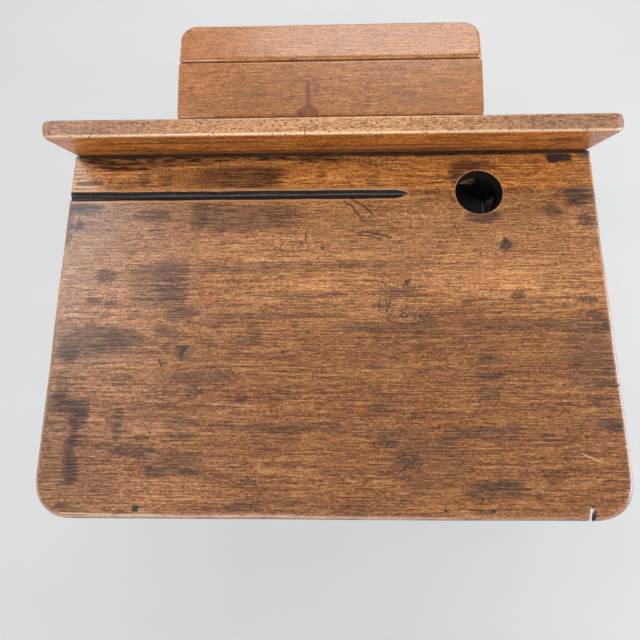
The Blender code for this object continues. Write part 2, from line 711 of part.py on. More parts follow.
def standard_regions():
    """Every region of the standard, as outlines in side view with half thicknesses."""
    regions = []
    # Column and front leg in one sweep, then the rear leg that forks from it
    fork = on_column(fork_height)
    front_foot = np.array((FRONT_FOOT, 0))
    rear_foot = np.array((-REAR_FOOT, 0))
    upper = [on_column(height) for height in np.linspace(column_top, fork_height, COLUMN_STEPS + 1)]
    front_points = upper + between(fork, front_foot, FRONT_LEG_SHARES)
    regions += ribbed_member(front_points, COLUMN, LEG_FOOT)
    rear_points = between(fork, rear_foot, REAR_LEG_SHARES)
    regions += ribbed_member(rear_points, REAR_LEG, LEG_FOOT)
    # Bracket that sweeps forward under the shelf and up to the front of the desktop
    rail_front = -TOP_RAIL_SHARE * DESK_DEPTH
    front_top = np.array((rail_front + BRACKET / 2, rail_under_desk(rail_front) - RAIL / 2))
    bracket_root = on_column(fork_height + (SHELF_TOP - fork_height) * BRACKET_ROOT_SHARE)
    regions += ribbed_member(between(bracket_root, front_top, BRACKET_SHARES), COLUMN, BRACKET)
    # Rails that the boards are screwed to
    rail_back = -RAIL_END
    regions += strip((rail_front, rail_under_desk(rail_front)), (rail_back, rail_under_desk(rail_back)),
                     -normal(DESK_SLOPE), RAIL, RAIL_HALF)
    lean = normal(BACK_LEAN)
    face = np.array((-FIT_GAP / math.cos(BACK_LEAN), 0))
    low_end = SEAM - LOW_SLAT_BOTTOM * lean + face
    top_end = np.array((back_line(column_top), column_top)) + face
    regions += strip(low_end, top_end, -heading(BACK_LEAN), RAIL, RAIL_HALF)
    ledge = SHELF_TOP - SHELF_THICK - FIT_GAP
    ledge_front = shelf_back - SHELF_DEPTH + BRACKET / 2
    regions += strip((ledge_front, ledge), (on_column(ledge)[0], ledge), (0, -1), RAIL, RAIL_HALF)
    # Hinge bracket and boss
    hinge_root = between(fork, front_foot, FRONT_LEG_SHARES)[0]
    hinge_root = fork + (hinge_root - fork) * HINGE_ROOT_SHARE
    regions += ribbed_member(between(hinge_root, PIVOT, HINGE_SHARES), HINGE_FOOT, HINGE_HEAD)
    regions += disc(PIVOT, BOSS_RADIUS, BOSS_HALF, BOSS_SIDES)
    # Feet
    for foot in (front_foot, rear_foot):
        half = FOOT_LENGTH / 2
        regions += strip(foot + np.array((-half, FOOT_THICK)), foot + np.array((half, FOOT_THICK)),
                         (0, -1), FOOT_THICK, FOOT_HALF)
    # Scrolls under the ledge, each as large as its gap to the bracket, and two in the side
    # of the book box
    bracket = smooth_path(between(bracket_root, front_top, BRACKET_SHARES))
    bracket_width = np.linspace(COLUMN, BRACKET, len(bracket))
    ledge_back = on_column(ledge)[0] - column_half
    ledge_run = ledge_back - ledge_front

    def scroll_in_gap(reach, low, high, hand):
        radius = (high - low - SCROLL_BAR) / 2 + SCROLL_SEAT
        return scroll((reach, (low + high) / 2), radius, SCROLL_FACING, hand)

    order = np.argsort(bracket[:, 0])
    for share in SPANDREL_SHARES:
        reach = ledge_back - share * ledge_run
        middle = np.interp(reach, bracket[order, 0], bracket[order, 1])
        half = np.interp(reach, bracket[order, 0], bracket_width[order]) / 2
        regions += scroll_in_gap(reach, middle + half, ledge - RAIL, 1)
    for share, hand in zip(PANEL_SHARES, (1, -1)):
        reach = ledge_back - share * ledge_run
        regions += scroll_in_gap(reach, ledge, rail_under_desk(reach) - RAIL, hand)
    # Scroll in the crotch of the legs, and the tie that arches under it
    level = np.array((LEG_SCROLL_REACH_SHARE, LEG_SCROLL_LEVEL_SHARE))
    front_side = fork + level * (front_foot - fork)
    rear_side = np.asarray(rear_points[3])
    crotch = (front_side + rear_side) / 2
    radius = LEG_SCROLL_SHARE * np.linalg.norm(front_side - rear_side)
    regions += scroll(crotch, radius, -SCROLL_FACING, 1)
    tie = [fork + np.array(TIE_REAR_SHARE) * (rear_foot - fork),
           crotch + np.array((0, -radius)),
           fork + np.array(TIE_FRONT_SHARE) * (front_foot - fork)]
    regions += [(band(smooth_path(tie), SCROLL_BAR), SCROLL_HALF)]
    return regions


# The seat arm in side view, drawn from the hinge line
ARM_END_SHARE = 0.92
ARM_REAR_ANGLE = 3 * math.pi / 2 - SEAT_FOLD
HUB_LOW_ANGLE = math.radians(-72)
HUB_LOW_SHARE = 0.9
ARM_LOW_SHARES = ((0, 0), (0.30, 0.42), (0.65, 0.80), (1, 1))


def crossing(spot, way, other_spot, other_way):
    """Where two lines in side view cross."""
    share = np.linalg.solve(np.column_stack((way, -other_way)), other_spot - spot)[0]
    return spot + share * way


def seat_under(depth):
    """The line along the seat at a depth under the boards' faces, from the rear stop to the tip."""
    lines = [(start - PIVOT - depth * normal(slope), heading(slope)) for _, start, _, slope in SEAT_BOARDS]
    rear_face = (STOP_TOP - FIT_GAP) * heading(ARM_REAR_ANGLE)
    first = crossing(*lines[0], rear_face, normal(ARM_REAR_ANGLE))
    tip = lines[2][0] + ARM_END_SHARE * FRONT_BOARD * lines[2][1]
    return [first, crossing(*lines[0], *lines[1]), crossing(*lines[1], *lines[2]), tip]


def arm_regions():
    """Every region of a seat arm: flange under the boards, tapering web, hub and heel."""
    depth = SEAT_THICK + FIT_GAP
    flange_top, flange_low = seat_under(depth), seat_under(depth + ARM_FLANGE)
    for side in (flange_top, flange_low):
        side[0] = side[0] + ARM_FLANGE_SET_BACK * heading(REAR_SLOPE)
    flange = np.array(flange_top + flange_low[::-1])
    tip_low = seat_under(depth + ARM_TIP)[-1]
    hub_low = HUB_RADIUS * HUB_LOW_SHARE * heading(HUB_LOW_ANGLE)
    low_edge = smooth_path(between(hub_low, tip_low, ARM_LOW_SHARES))
    rear_low = (STOP_TOP - FIT_GAP) * heading(ARM_REAR_ANGLE)
    web = np.vstack((low_edge, seat_under(depth + ARM_FLANGE / 2)[::-1], [rear_low]))
    hub = disc((0, 0), HUB_RADIUS, HUB_HALF, BOSS_SIDES)
    heel = strip((HEEL / 2, -HEEL_LENGTH), (HEEL / 2, 0), (-1, 0), HEEL, HUB_HALF)
    return [(flange, ARM_FLANGE_HALF), (web, ARM_WEB_HALF)] + hub + heel


def prism_mesh(name, outline, start, end):
    """A side-view outline (y, z), counter-clockwise, carried along X from start to end."""
    bm = bmesh.new()
    near = [bm.verts.new((start, y, z)) for y, z in outline]
    far = [bm.verts.new((end, y, z)) for y, z in outline]
    bm.faces.new(list(reversed(near)))
    bm.faces.new(far)
    for i in range(len(near)):
        j = (i + 1) % len(near)
        bm.faces.new((near[i], near[j], far[j], far[i]))
    return mesh_from(name, bm)


# Hinge bolts and nuts: each bolt comes in from outside, through boss and hub
bolt_grip = 2 * BOSS_HALF + 2 * HUB_HALF + 3 * FIT_GAP
bolt_end = bolt_grip + NUT_THICK + BOLT_TAIL
bolt_profile = headed(BOLT_HEAD, BOLT_HEAD_THICK) + [(BOLT_RADIUS, 0), (BOLT_RADIUS, bolt_end), (0, bolt_end)]
bolt_mesh = turned_mesh("pivot_bolt", bolt_profile, BORE_SIDES)
nut = nut_mesh("pivot_nut", NUT_WIDTH, BOLT_RADIUS + FIT_GAP, NUT_THICK)
bolt_places = []
for side, sign in (("left", -1), ("right", 1)):
    inward = Matrix.Rotation(-sign * math.pi / 2, 4, "Y")
    seat = frame_at(PIVOT, 0, sign * (STANDARD_X + BOSS_HALF + FIT_GAP)) @ inward
    bolt_places.append(seat)
    add("pivot_bolt_" + side, bolt_mesh, seat, desk, STEEL)
    add("pivot_nut_" + side, nut, seat @ Matrix.Translation((0, 0, bolt_grip)), desk, STEEL)
bores = rods_mesh("pivot_bores", bolt_places, BOLT_RADIUS + FIT_GAP, -OVERRUN,
                  bolt_grip + OVERRUN, BORE_SIDES)
pivot_bores = add_tool("pivot_bores", bores, Matrix.Identity(4), desk)

# Floor holes: two in each foot, one on each side of the leg
floor_places = [Matrix.Translation((x, y, 0))
                for x in side_pair(-FLOOR_HOLE_OFFSET) + side_pair(FLOOR_HOLE_OFFSET)
                for y in (-REAR_FOOT, FRONT_FOOT)]
holes = rods_mesh("floor_holes", floor_places, FLOOR_HOLE / 2, -OVERRUN,
                  FOOT_THICK + OVERRUN, BORE_SIDES // 2)
floor_holes = add_tool("floor_holes", holes, Matrix.Identity(4), desk)

# Stop block: the heel meets its front face with the seat down, the arm's rear end its top
# with the seat folded up
stop_front = PIVOT[0] - HEEL / 2 - FIT_GAP
stop_outline = (
    (stop_front - STOP_WIDTH, PIVOT[1] - STOP_BASE + STOP_WIDTH / 2),
    (stop_front - STOP_WIDTH / 2, PIVOT[1] - STOP_BASE),
    (stop_front, PIVOT[1] - STOP_BASE),
    (stop_front, PIVOT[1] - STOP_TOP),
    (stop_front - STOP_WIDTH, PIVOT[1] - STOP_TOP),
)

standard_mesh = casting_mesh("standard", standard_regions())
arm_mesh = casting_mesh("seat_arm", arm_regions())
for side, sign in (("left", -1), ("right", 1)):
    place = Matrix.Translation((sign * STANDARD_X, 0, 0))
    standard = add("standard_" + side, standard_mesh.copy(), place, desk, IRON)
    block = sorted((sign * STANDARD_X, sign * (arm_x - HUB_HALF)))
    block_mesh = prism_mesh("stop_block_" + side, stop_outline, *block)
    boolean(standard, add_tool("stop_block_" + side, block_mesh, Matrix.Identity(4), desk), "UNION")
    for tool in pilots + [pivot_bores, floor_holes]:
        boolean(standard, tool, "DIFFERENCE")
    arm = add("seat_arm_" + side, arm_mesh.copy(), Matrix.Translation((sign * arm_x, 0, 0)), hinge, IRON)
    for tool in arm_pilots + [pivot_bores]:
        boolean(arm, tool, "DIFFERENCE")
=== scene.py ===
# %% [markdown]
# # A worn school desk in wood and cast iron
#
# The desktop and its book shelf serve one pupil. The board that leans behind the desktop is the
# top of the back of the seat in front. Two cast-iron standards carry everything, and the seat
# folds up on two bolts. Each piece below is a surface worked out with numpy and laid over its
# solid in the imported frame, so a place here is a place on the part, in metres.

import math
from functools import partial

import bmesh
import bpy
import numpy as np
from mathutils import Matrix, Vector


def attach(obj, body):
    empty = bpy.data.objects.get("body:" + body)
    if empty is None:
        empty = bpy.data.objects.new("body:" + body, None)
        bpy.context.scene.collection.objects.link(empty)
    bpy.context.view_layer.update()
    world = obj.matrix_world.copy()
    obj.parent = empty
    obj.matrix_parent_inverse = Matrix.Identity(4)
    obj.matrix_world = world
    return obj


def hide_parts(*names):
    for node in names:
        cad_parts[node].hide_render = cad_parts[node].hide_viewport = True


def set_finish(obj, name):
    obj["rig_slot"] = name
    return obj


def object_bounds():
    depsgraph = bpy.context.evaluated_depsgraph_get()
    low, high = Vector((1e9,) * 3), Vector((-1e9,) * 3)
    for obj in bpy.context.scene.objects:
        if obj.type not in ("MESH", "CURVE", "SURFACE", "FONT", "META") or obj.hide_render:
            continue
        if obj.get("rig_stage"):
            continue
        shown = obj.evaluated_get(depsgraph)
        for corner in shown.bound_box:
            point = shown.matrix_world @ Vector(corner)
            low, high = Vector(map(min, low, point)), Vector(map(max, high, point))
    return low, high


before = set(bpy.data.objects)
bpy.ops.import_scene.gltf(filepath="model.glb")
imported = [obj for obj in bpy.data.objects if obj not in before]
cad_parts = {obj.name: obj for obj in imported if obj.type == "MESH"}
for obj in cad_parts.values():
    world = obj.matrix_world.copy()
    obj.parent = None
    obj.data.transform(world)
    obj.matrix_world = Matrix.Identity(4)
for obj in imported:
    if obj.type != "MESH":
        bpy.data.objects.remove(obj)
cad_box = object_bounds()
print("solids in the frame:", len(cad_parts))
print("size of the part in mm:", [round(1000 * (high - low)) for low, high in zip(*cad_box)])

# %% [markdown]
# ## Lines that the pieces share
#
# The seam is the line where the top of the desktop meets the back. A board is drawn flat, with
# its face at z = 0 and its grain along x, and a matrix then puts it in its place. The same
# matrix, turned round, later gives the board's material a grain that follows the board.

# %% Sizes and planes
DESK_WIDTH = 0.610
DESK_DEPTH = 0.406
DESK_THICK = 0.019
SEAM_Y = -0.05042
SEAM_HEIGHT = 0.745
DESK_SLOPE = math.radians(2.5)
BACK_LEAN = math.radians(19.5)
FIT_GAP = 0.0003
BACK_THICK = 0.018
BACK_RISE = 0.0715
TOP_BOARD = 0.215
BACK_BOTTOM = TOP_BOARD - BACK_RISE
SLAT = 0.070
SLAT_GAP = 0.022
BOX_HEIGHT = 0.120
SHELF_THICK = 0.012
SHELF_DEPTH = 0.330
RAIL = 0.005
STANDARD_X = DESK_WIDTH / 2 - 0.075
SHELF_TOP = SEAM_HEIGHT - DESK_THICK - BOX_HEIGHT
SEAT_LOW = 0.4295
SEAT_THICK = 0.018
SEAT_GAP = 0.004
PIVOT_HEIGHT = SEAT_LOW - 0.0375


def back_line(height):
    """Distance from the seam to the back's face at a height: the drop times the lean's tangent."""
    return (SEAM_HEIGHT - height) * math.tan(BACK_LEAN)


def heading(angle):
    """Unit step in side view: cosine of the angle along y, sine along z."""
    return np.array((math.cos(angle), math.sin(angle)))


def square_to(angle):
    """Unit step a quarter turn on from a heading."""
    return heading(angle + math.pi / 2)


def plane_at(spot, tilt, x=0.0):
    """Matrix of a place in side view (y from the seam, z from the floor), turned about x."""
    return Matrix.Translation((x, SEAM_Y + spot[0], spot[1])) @ Matrix.Rotation(tilt, 4, "X")


SEAM = np.array((0, SEAM_HEIGHT))
PIVOT = np.array((back_line(PIVOT_HEIGHT) + 0.0837, PIVOT_HEIGHT))
CREASE = np.array((PIVOT[0] + 0.091, SEAT_LOW))
REAR_BOARD, REAR_SLOPE = 0.121, math.radians(-6)
MIDDLE_BOARD, MIDDLE_SLOPE = 0.116, math.radians(9.4)
FRONT_BOARD, FRONT_SLOPE = 0.086, math.radians(2)
REAR_START = CREASE - (SEAT_GAP / 2 + REAR_BOARD) * heading(REAR_SLOPE)
MIDDLE_START = CREASE + SEAT_GAP / 2 * heading(MIDDLE_SLOPE)
FRONT_START = MIDDLE_START + (MIDDLE_BOARD + SEAT_GAP) * heading(MIDDLE_SLOPE)
SEAT_BOARDS = (
    ("seat_board_rear", REAR_START, REAR_BOARD, REAR_SLOPE),
    ("seat_board_middle", MIDDLE_START, MIDDLE_BOARD, MIDDLE_SLOPE),
    ("seat_board_front", FRONT_START, FRONT_BOARD, FRONT_SLOPE),
)
shelf_back = back_line(SHELF_TOP) - (RAIL + 2 * FIT_GAP) / math.cos(BACK_LEAN) - 0.001
planes = {
    "desktop": plane_at(SEAM, DESK_SLOPE),
    "back_top_board": plane_at(SEAM, BACK_LEAN + math.pi / 2),
    "book_shelf": plane_at((shelf_back, SHELF_TOP), 0),
}
back = planes["back_top_board"]
planes["back_middle_slat"] = back @ Matrix.Translation((0, -(BACK_BOTTOM + SLAT_GAP + SLAT), 0))
planes["back_lower_slat"] = back @ Matrix.Translation((0, -(BACK_BOTTOM + 2 * (SLAT_GAP + SLAT)), 0))
for name, start, _, slope in SEAT_BOARDS:
    planes[name] = plane_at(start, slope)
print("hinge line of the seat: y", round(SEAM_Y + PIVOT[0], 4), "z", round(PIVOT[1], 4))

# %% [markdown]
# ## From arrays to meshes
#
# Every surface here is a grid: rows of points, each row a ring or a section, and each
# neighbouring pair of rows joined by four-sided faces. One helper makes the faces of a grid,
# and one hands points and faces to Blender and says which body the piece rides on.


# %% Helpers for meshes
SMOOTH_ANGLE = math.radians(38)
pieces = {}


def grid_faces(rows, columns, wrap=True, first=0):
    """Faces between rows of points: point (r, c) has the number first + r * columns + c.

    With wrap, the last column joins the first one again.
    """
    count = columns if wrap else columns - 1
    r, c = np.meshgrid(np.arange(rows - 1), np.arange(count), indexing="ij")
    right = (c + 1) % columns
    corners = (r * columns + c, r * columns + right, (r + 1) * columns + right, (r + 1) * columns + c)
    return np.stack(corners, axis=-1).reshape(-1, 4) + first


def moved(points, matrix):
    """Points times a matrix: the turn applied to every row of the array, then the shift."""
    turn = np.array(matrix)[:3, :3]
    return np.asarray(points).reshape(-1, 3) @ turn.T + np.array(matrix)[:3, 3]


def shell(rings, caps=True):
    """Points and faces of a closed tube: a grid of rings, with a flat face over each end."""
    rows, columns = rings.shape[:2]
    faces = grid_faces(rows, columns).tolist()
    if caps:
        faces.append(list(range(columns))[::-1])
        faces.append(list(range((rows - 1) * columns, rows * columns)))
    return rings.reshape(-1, 3), faces


def joined(parts):
    """Several sets of points and faces as one set."""
    points, faces, count = [], [], 0
    for some_points, some_faces in parts:
        points.append(some_points)
        faces += [[count + i for i in face] for face in some_faces]
        count += len(some_points)
    return np.vstack(points), faces


def make_object(name, points, faces):
    """A mesh object from arrays. A shape that encloses less than nothing is turned outwards."""
    mesh = bpy.data.meshes.new(name)
    mesh.from_pydata(np.asarray(points).tolist(), [], faces)
    solid = bmesh.new()
    solid.from_mesh(mesh)
    if solid.calc_volume(signed=True) < 0:
        mesh.flip_normals()
    solid.free()
    thing = bpy.data.objects.new(name, mesh)
    bpy.context.scene.collection.objects.link(thing)
    return thing


def smooth(thing, angle=SMOOTH_ANGLE):
    """Shade smooth across round stretches and sharp where faces meet at more than an angle."""
    thing.data.shade_smooth()
    thing.data.set_sharp_from_angle(angle=angle)
    return thing


def settle(thing):
    """Apply a piece's modifiers, so that its mesh is what is seen."""
    graph = bpy.context.evaluated_depsgraph_get()
    mesh = bpy.data.meshes.new_from_object(thing.evaluated_get(graph))
    thing.modifiers.clear()
    thing.data = mesh
    return thing


def cut(thing, points, faces, solver="EXACT"):
    """Take a closed shape away from a piece."""
    tool = make_object("cutter", points, faces)
    modifier = thing.modifiers.new("cut", "BOOLEAN")
    modifier.operation, modifier.solver, modifier.object = "DIFFERENCE", solver, tool
    settle(thing)
    bpy.data.objects.remove(tool, do_unlink=True)
    return thing


def keep_piece(thing, node, body, slot):
    """Name a piece after its solid and slot, let it stand for the solid, and ride its body."""
    thing.name = thing.data.name = node + "_" + slot
    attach(thing, body)
    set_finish(thing, slot)
    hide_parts(node)
    pieces[node] = thing
    return thing


# %% [markdown]
# ## Wooden boards
#
# A real board is sawn square and its edges are then rounded over by a plane and by a century
# of sleeves. A cube with a Bevel would give every edge the same round. Here the outline of
# the board is carried through the section of its edge instead, and the radius of the round
# wanders a little along the way, as wear does.


# %% Outline and surface of a board
OUTLINE_STEP = 0.008
CORNER_STEPS = 14
EDGE_STEPS = 7
FLAT_RING = 0.0006
WEAR_WAVES = ((3, 0.5, 0.3), (7, 0.3, 1.7), (17, 0.2, 4.1))


def board_outline(half, low, high, low_radius, high_radius, power=2.0):
    """Points round a board and their outward steps, counter-clockwise.

    Four corners, centre + radius * (cos, sin) ^ (2 / power), and straight runs between them.
    A power of two gives quarter circles, and more gives fuller corners.
    """
    corners = (
        (half - low_radius, low + low_radius, low_radius, -90),
        (half - high_radius, high - high_radius, high_radius, 0),
        (high_radius - half, high - high_radius, high_radius, 90),
        (low_radius - half, low + low_radius, low_radius, 180),
    )
    arcs, outs = [], []
    for x, y, radius, start in corners:
        angle = np.radians(start + np.linspace(0, 90, CORNER_STEPS))
        out = np.column_stack((np.cos(angle), np.sin(angle))).round(9)
        arcs.append(np.array((x, y)) + radius * np.sign(out) * np.abs(out) ** (2 / power))
        out = np.sign(out) * np.abs(out) ** (2 - 2 / power)
        out /= np.linalg.norm(out, axis=1)[:, None]
        outs.append(out)
    points, steps = [], []
    for arc, out, following in zip(arcs, outs, arcs[1:] + arcs[:1]):
        run = following[0] - arc[-1]
        count = max(2, int(np.linalg.norm(run) / OUTLINE_STEP))
        share = (np.arange(1, count) / count)[:, None]
        points += [arc, arc[-1] + share * run]
        steps += [out, np.repeat(out[-1:], count - 1, axis=0)]
    return np.vstack(points), np.vstack(steps)


def wander(along, amount):
    """A slow wave round a closed line: a few sines with whole numbers of turns, about 1."""
    waves = sum(size * np.sin(turns * along + start) for turns, size, start in WEAR_WAVES)
    return 1 + amount * waves


def board_surface(outline, outward, thick, edge, amount=0.2):
    """A board's surface as rings: face, upper round, side, lower round and underside.

    At an angle a of the round, the ring lies edge * (1 - sin a) inside the outline and
    edge * (1 - cos a) below the face, and the edge is scaled round the board by the wave.
    """
    along = np.linspace(0, 2 * math.pi, len(outline), endpoint=False)
    local = (edge * wander(along, amount))[None, :]
    angle = np.linspace(0, math.pi / 2, EDGE_STEPS)[:, None]
    inset = local * (1 - np.sin(angle))
    drop = local * (1 - np.cos(angle))
    inset = np.vstack((local + FLAT_RING, inset, inset[::-1], local + FLAT_RING))
    height = np.vstack((0 * local, -drop, drop[::-1] - thick, 0 * local - thick))
    flat = outline[None] - inset[..., None] * outward[None]
    rings = np.concatenate((flat, height[..., None]), axis=-1)
    return rings[::-1]


def level_normals(thing):
    """Let the large flat faces keep straight normals beside the rounds."""
    modifier = thing.modifiers.new("level_normals", "WEIGHTED_NORMAL")
    modifier.keep_sharp = True
    modifier.weight = 100
    return settle(thing)


def make_board(name, half, low, high, radii, thick, edge, end_edge=0.0):
    """One board in its place, before any cut.

    Its round is edge wide, and wider by end_edge at the ends.
    """
    outline, outward = board_outline(half, low, high, *radii)
    edge = edge + end_edge * outward[:, 0] ** 2
    points, faces = shell(board_surface(outline, outward, thick, edge))
    return make_object(name, moved(points, planes[name]), faces)


BACK_ROUND = 0.003
SEAT_ROUND = 0.004
SLAT_CORNER = 0.012
half_desk = DESK_WIDTH / 2
slat_sizes = (half_desk, 0, SLAT, (SLAT_CORNER, SLAT_CORNER), BACK_THICK, BACK_ROUND)
# Half length, low edge, high edge, corner radii, thickness, round and extra round at the ends
boards = {
    "back_top_board": (half_desk, -BACK_BOTTOM, BACK_RISE, (0.006, 0.014), BACK_THICK, BACK_ROUND,
                       0.0045),
    "back_middle_slat": slat_sizes,
    "back_lower_slat": slat_sizes,
    "book_shelf": (STANDARD_X - 0.007, -SHELF_DEPTH, 0, (SLAT_CORNER, 0.003), SHELF_THICK, 0.002),
    "seat_board_rear": (half_desk, 0, REAR_BOARD, (0.005, 0.005), SEAT_THICK, SEAT_ROUND),
    "seat_board_middle": (half_desk, 0, MIDDLE_BOARD, (0.005, 0.005), SEAT_THICK, SEAT_ROUND),
    "seat_board_front": (half_desk, 0, FRONT_BOARD, (0.009, 0.034), SEAT_THICK, 0.007),
}
for name, sizes in boards.items():
    board = level_normals(smooth(make_board(name, *sizes)))
    keep_piece(board, name, "seat" if name.startswith("seat") else "desk", "wood")
    print(name, "faces:", len(board.data.polygons))

# %% [markdown]
# ## The desktop
#
# The desktop is one board too, but its back edge is cut off along the leaning board behind
# it. Then come the groove that keeps pencils from rolling away, the hole for the ink pot, a
# sharp chip in the front edge and a short crack at the right. Each is a cutter of its own,
# taken away with an exact Boolean, because a painted groove would look flat from the side.

# %% Desktop board with its back edge cut
DESK_CORNER = 0.046
DESK_ROUND = 0.0072
DESK_FULLNESS = 2.45
DESK_WEAR = 0.28
SPARE = 0.020
ZONES_X = (-0.10, 0.10)
ZONES_Y = (-0.27, -0.13)
rake = BACK_LEAN - DESK_SLOPE
planes_desk = planes["desktop"]
outline, outward = board_outline(half_desk, -DESK_DEPTH, SPARE, DESK_CORNER, 0.006, DESK_FULLNESS)
points, faces = shell(board_surface(outline, outward, DESK_THICK, DESK_ROUND, DESK_WEAR))
desktop = make_object("desktop", moved(points, planes_desk), faces)
build = bmesh.new()
build.from_mesh(desktop.data)
for axis, lines in enumerate((ZONES_X, ZONES_Y)):
    for line in lines:
        spot = planes_desk @ Vector((line, 0, 0) if axis == 0 else (0, line, 0))
        everything = build.verts[:] + build.edges[:] + build.faces[:]
        normal = planes_desk.col[axis].to_3d()
        bmesh.ops.bisect_plane(build, geom=everything, plane_co=spot, plane_no=normal)
build.to_mesh(desktop.data)
build.free()
seam_gap = FIT_GAP / math.cos(rake)
side = np.array(((-seam_gap - SPARE * math.tan(rake), SPARE), (SPARE * 2, SPARE),
                 (SPARE * 2, -2 * SPARE), (-seam_gap + 2 * SPARE * math.tan(rake), -2 * SPARE)))
rings = np.stack([np.column_stack((np.full(4, x), side)) for x in (-DESK_WIDTH, DESK_WIDTH)])
points, faces = shell(rings)
cut(desktop, moved(points, planes_desk), faces)
print("desktop before its cuts, faces:", len(desktop.data.polygons))

# %% Pencil groove
GROOVE_Y = -0.053
GROOVE_HALF = 0.00525
GROOVE_DEPTH = 0.0062
GROOVE_TIP = 0.091
GROOVE_TAPER = 0.018
GROOVE_STATIONS = 90
TAPER_CURVE = (1.8, 0.7)
TIP_SHARE = 0.02
SECTION_CURVE = (2.6, 0.55)
SECTION_STEPS = 17
HAND_WAVES = ((61, 0.035, 0), (173, 0.02, 2))
LIP = 0.0011
LIP_DROP = 0.0009
LIP_SHARES = np.array((1, 0.35))
LIP_HEIGHTS = np.array((0.0004, -0.0004))
PAST_WOOD = 0.004


def groove_rings():
    """The groove's cutter: its section carried along x.

    Across the groove, at t from -1 to 1, the depth is the groove's depth times
    (1 - |t| ^ 2.6) ^ 0.55, and a small worn lip flares out above it. In the taper the section
    is scaled by (1 - (1 - left) ^ 1.8) ^ 0.7, where left is the share of the taper ahead.
    """
    x = np.linspace(-half_desk - PAST_WOOD, GROOVE_TIP - 0.0002, GROOVE_STATIONS)
    left = np.clip((GROOVE_TIP - x) / GROOVE_TAPER, 0, 1)
    wide = np.maximum((1 - (1 - left) ** TAPER_CURVE[0]) ** TAPER_CURVE[1], TIP_SHARE)
    hand = 1 + sum(size * np.sin(x * waves + start) for waves, size, start in HAND_WAVES)
    t = np.cos(np.linspace(0, math.pi, SECTION_STEPS))
    deep = -GROOVE_DEPTH * (1 - np.abs(t) ** SECTION_CURVE[0]).clip(0, 1) ** SECTION_CURVE[1]
    lip = GROOVE_HALF + LIP_SHARES * LIP
    y = np.concatenate((lip, GROOVE_HALF * t, -lip[::-1], (-lip[0], lip[0])))
    z = np.concatenate((LIP_HEIGHTS, deep - LIP_DROP, LIP_HEIGHTS[::-1], (PAST_WOOD, PAST_WOOD)))
    rings = np.empty((len(x), len(y), 3))
    rings[..., 0] = x[:, None]
    rings[..., 1] = GROOVE_Y + (wide * hand)[:, None] * y[None, :]
    rings[..., 2] = np.where(z[None, :] > 0, z[None, :], wide[:, None] * z[None, :])
    return rings


points, faces = shell(groove_rings())
cut(desktop, moved(points, planes_desk), faces)
print("groove in mm: length", round(1000 * (GROOVE_TIP + half_desk)), "width", 2000 * GROOVE_HALF)

# %% Ink hole
INK_X, INK_Y = half_desk - 0.1335, -0.0517
INK_RADIUS = 0.0265
RIM = 0.0016
RIM_SPARE = 0.003
HOLE_SIDES = 96


def turned(profile, sides):
    """A profile of (radius, height) points turned about z: (r cos a, r sin a, h)."""
    profile = np.asarray(profile, dtype=float)
    a = np.linspace(0, 2 * math.pi, sides, endpoint=False)
    rings = np.empty((len(profile), sides, 3))
    rings[..., 0] = profile[:, :1] * np.cos(a)
    rings[..., 1] = profile[:, :1] * np.sin(a)
    rings[..., 2] = profile[:, 1:]
    return rings


def quarter(radius, steps):
    """Shares of a quarter circle: (1 - sin a, 1 - cos a) times a radius, a from 0 to 90."""
    a = np.linspace(0, math.pi / 2, steps)
    return radius * np.column_stack((1 - np.sin(a), 1 - np.cos(a)))


rim = quarter(RIM, 6) * (1, -1) + (INK_RADIUS, 0)
under = (quarter(RIM, 5) * (1, 1) + (INK_RADIUS, -DESK_THICK))[::-1]
outside = INK_RADIUS + RIM
profile = np.vstack(([outside, RIM_SPARE], rim, under, [outside, -DESK_THICK - RIM_SPARE]))
points, faces = shell(turned(profile, HOLE_SIDES)[::-1])
cut(desktop, moved(points + (INK_X, INK_Y, 0), planes_desk), faces)
print("ink hole across in mm:", 2000 * INK_RADIUS)

# %% Chip in the front edge and crack at the right
ABOVE_FACE = 0.0006
BEFORE_EDGE = -0.411
CHIP_TIP = (0.2584, -0.3890, ABOVE_FACE)
CHIP_LEFT = (0.2511, BEFORE_EDGE, ABOVE_FACE)
CHIP_RIGHT = (0.2610, BEFORE_EDGE, ABOVE_FACE)
CHIP_ROOT = (0.2600, BEFORE_EDGE, -0.0080)
chip = np.array((CHIP_TIP, CHIP_LEFT, CHIP_RIGHT, CHIP_ROOT))
cut(desktop, moved(chip, planes_desk), [[0, 1, 2], [0, 3, 1], [0, 2, 3], [1, 3, 2]])

CRACK = np.array(((0.2679, -0.2752), (0.2768, -0.2748), (0.2850, -0.2733), (0.2934, -0.2732),
                  (0.3010, -0.2722), (0.3070, -0.2722)))
CRACK_HALF = np.array((0.00003, 0.00018, 0.00022, 0.00034, 0.00042, 0.0005))
CRACK_DEEP = np.array((0.0002, 0.0016, 0.0024, 0.0035, 0.0050, 0.0060))
rings = np.empty((len(CRACK), 3, 3))
for column, (across, down) in enumerate(((1, 0), (-1, 0), (0, 1))):
    rings[:, column, 0] = CRACK[:, 0]
    rings[:, column, 1] = CRACK[:, 1] + across * CRACK_HALF
    rings[:, column, 2] = np.where(down, -CRACK_DEEP, ABOVE_FACE)
points, faces = shell(rings)
cut(desktop, moved(points, planes_desk), faces)
level_normals(smooth(desktop, math.radians(50)))
keep_piece(desktop, "desktop", "desk", "wood")
print("desktop faces:", len(desktop.data.polygons))

# %% [markdown]
# ## Cast-iron standards
#
# A standard is poured in sand from a flat pattern, so every member has the same middle plane
# and soft rounded edges, and where two members meet the iron flows into a fillet. Each member
# is a section carried along its path. All of them are then fused by a voxel remesh and
# relaxed, which leaves the soft skin of a casting.

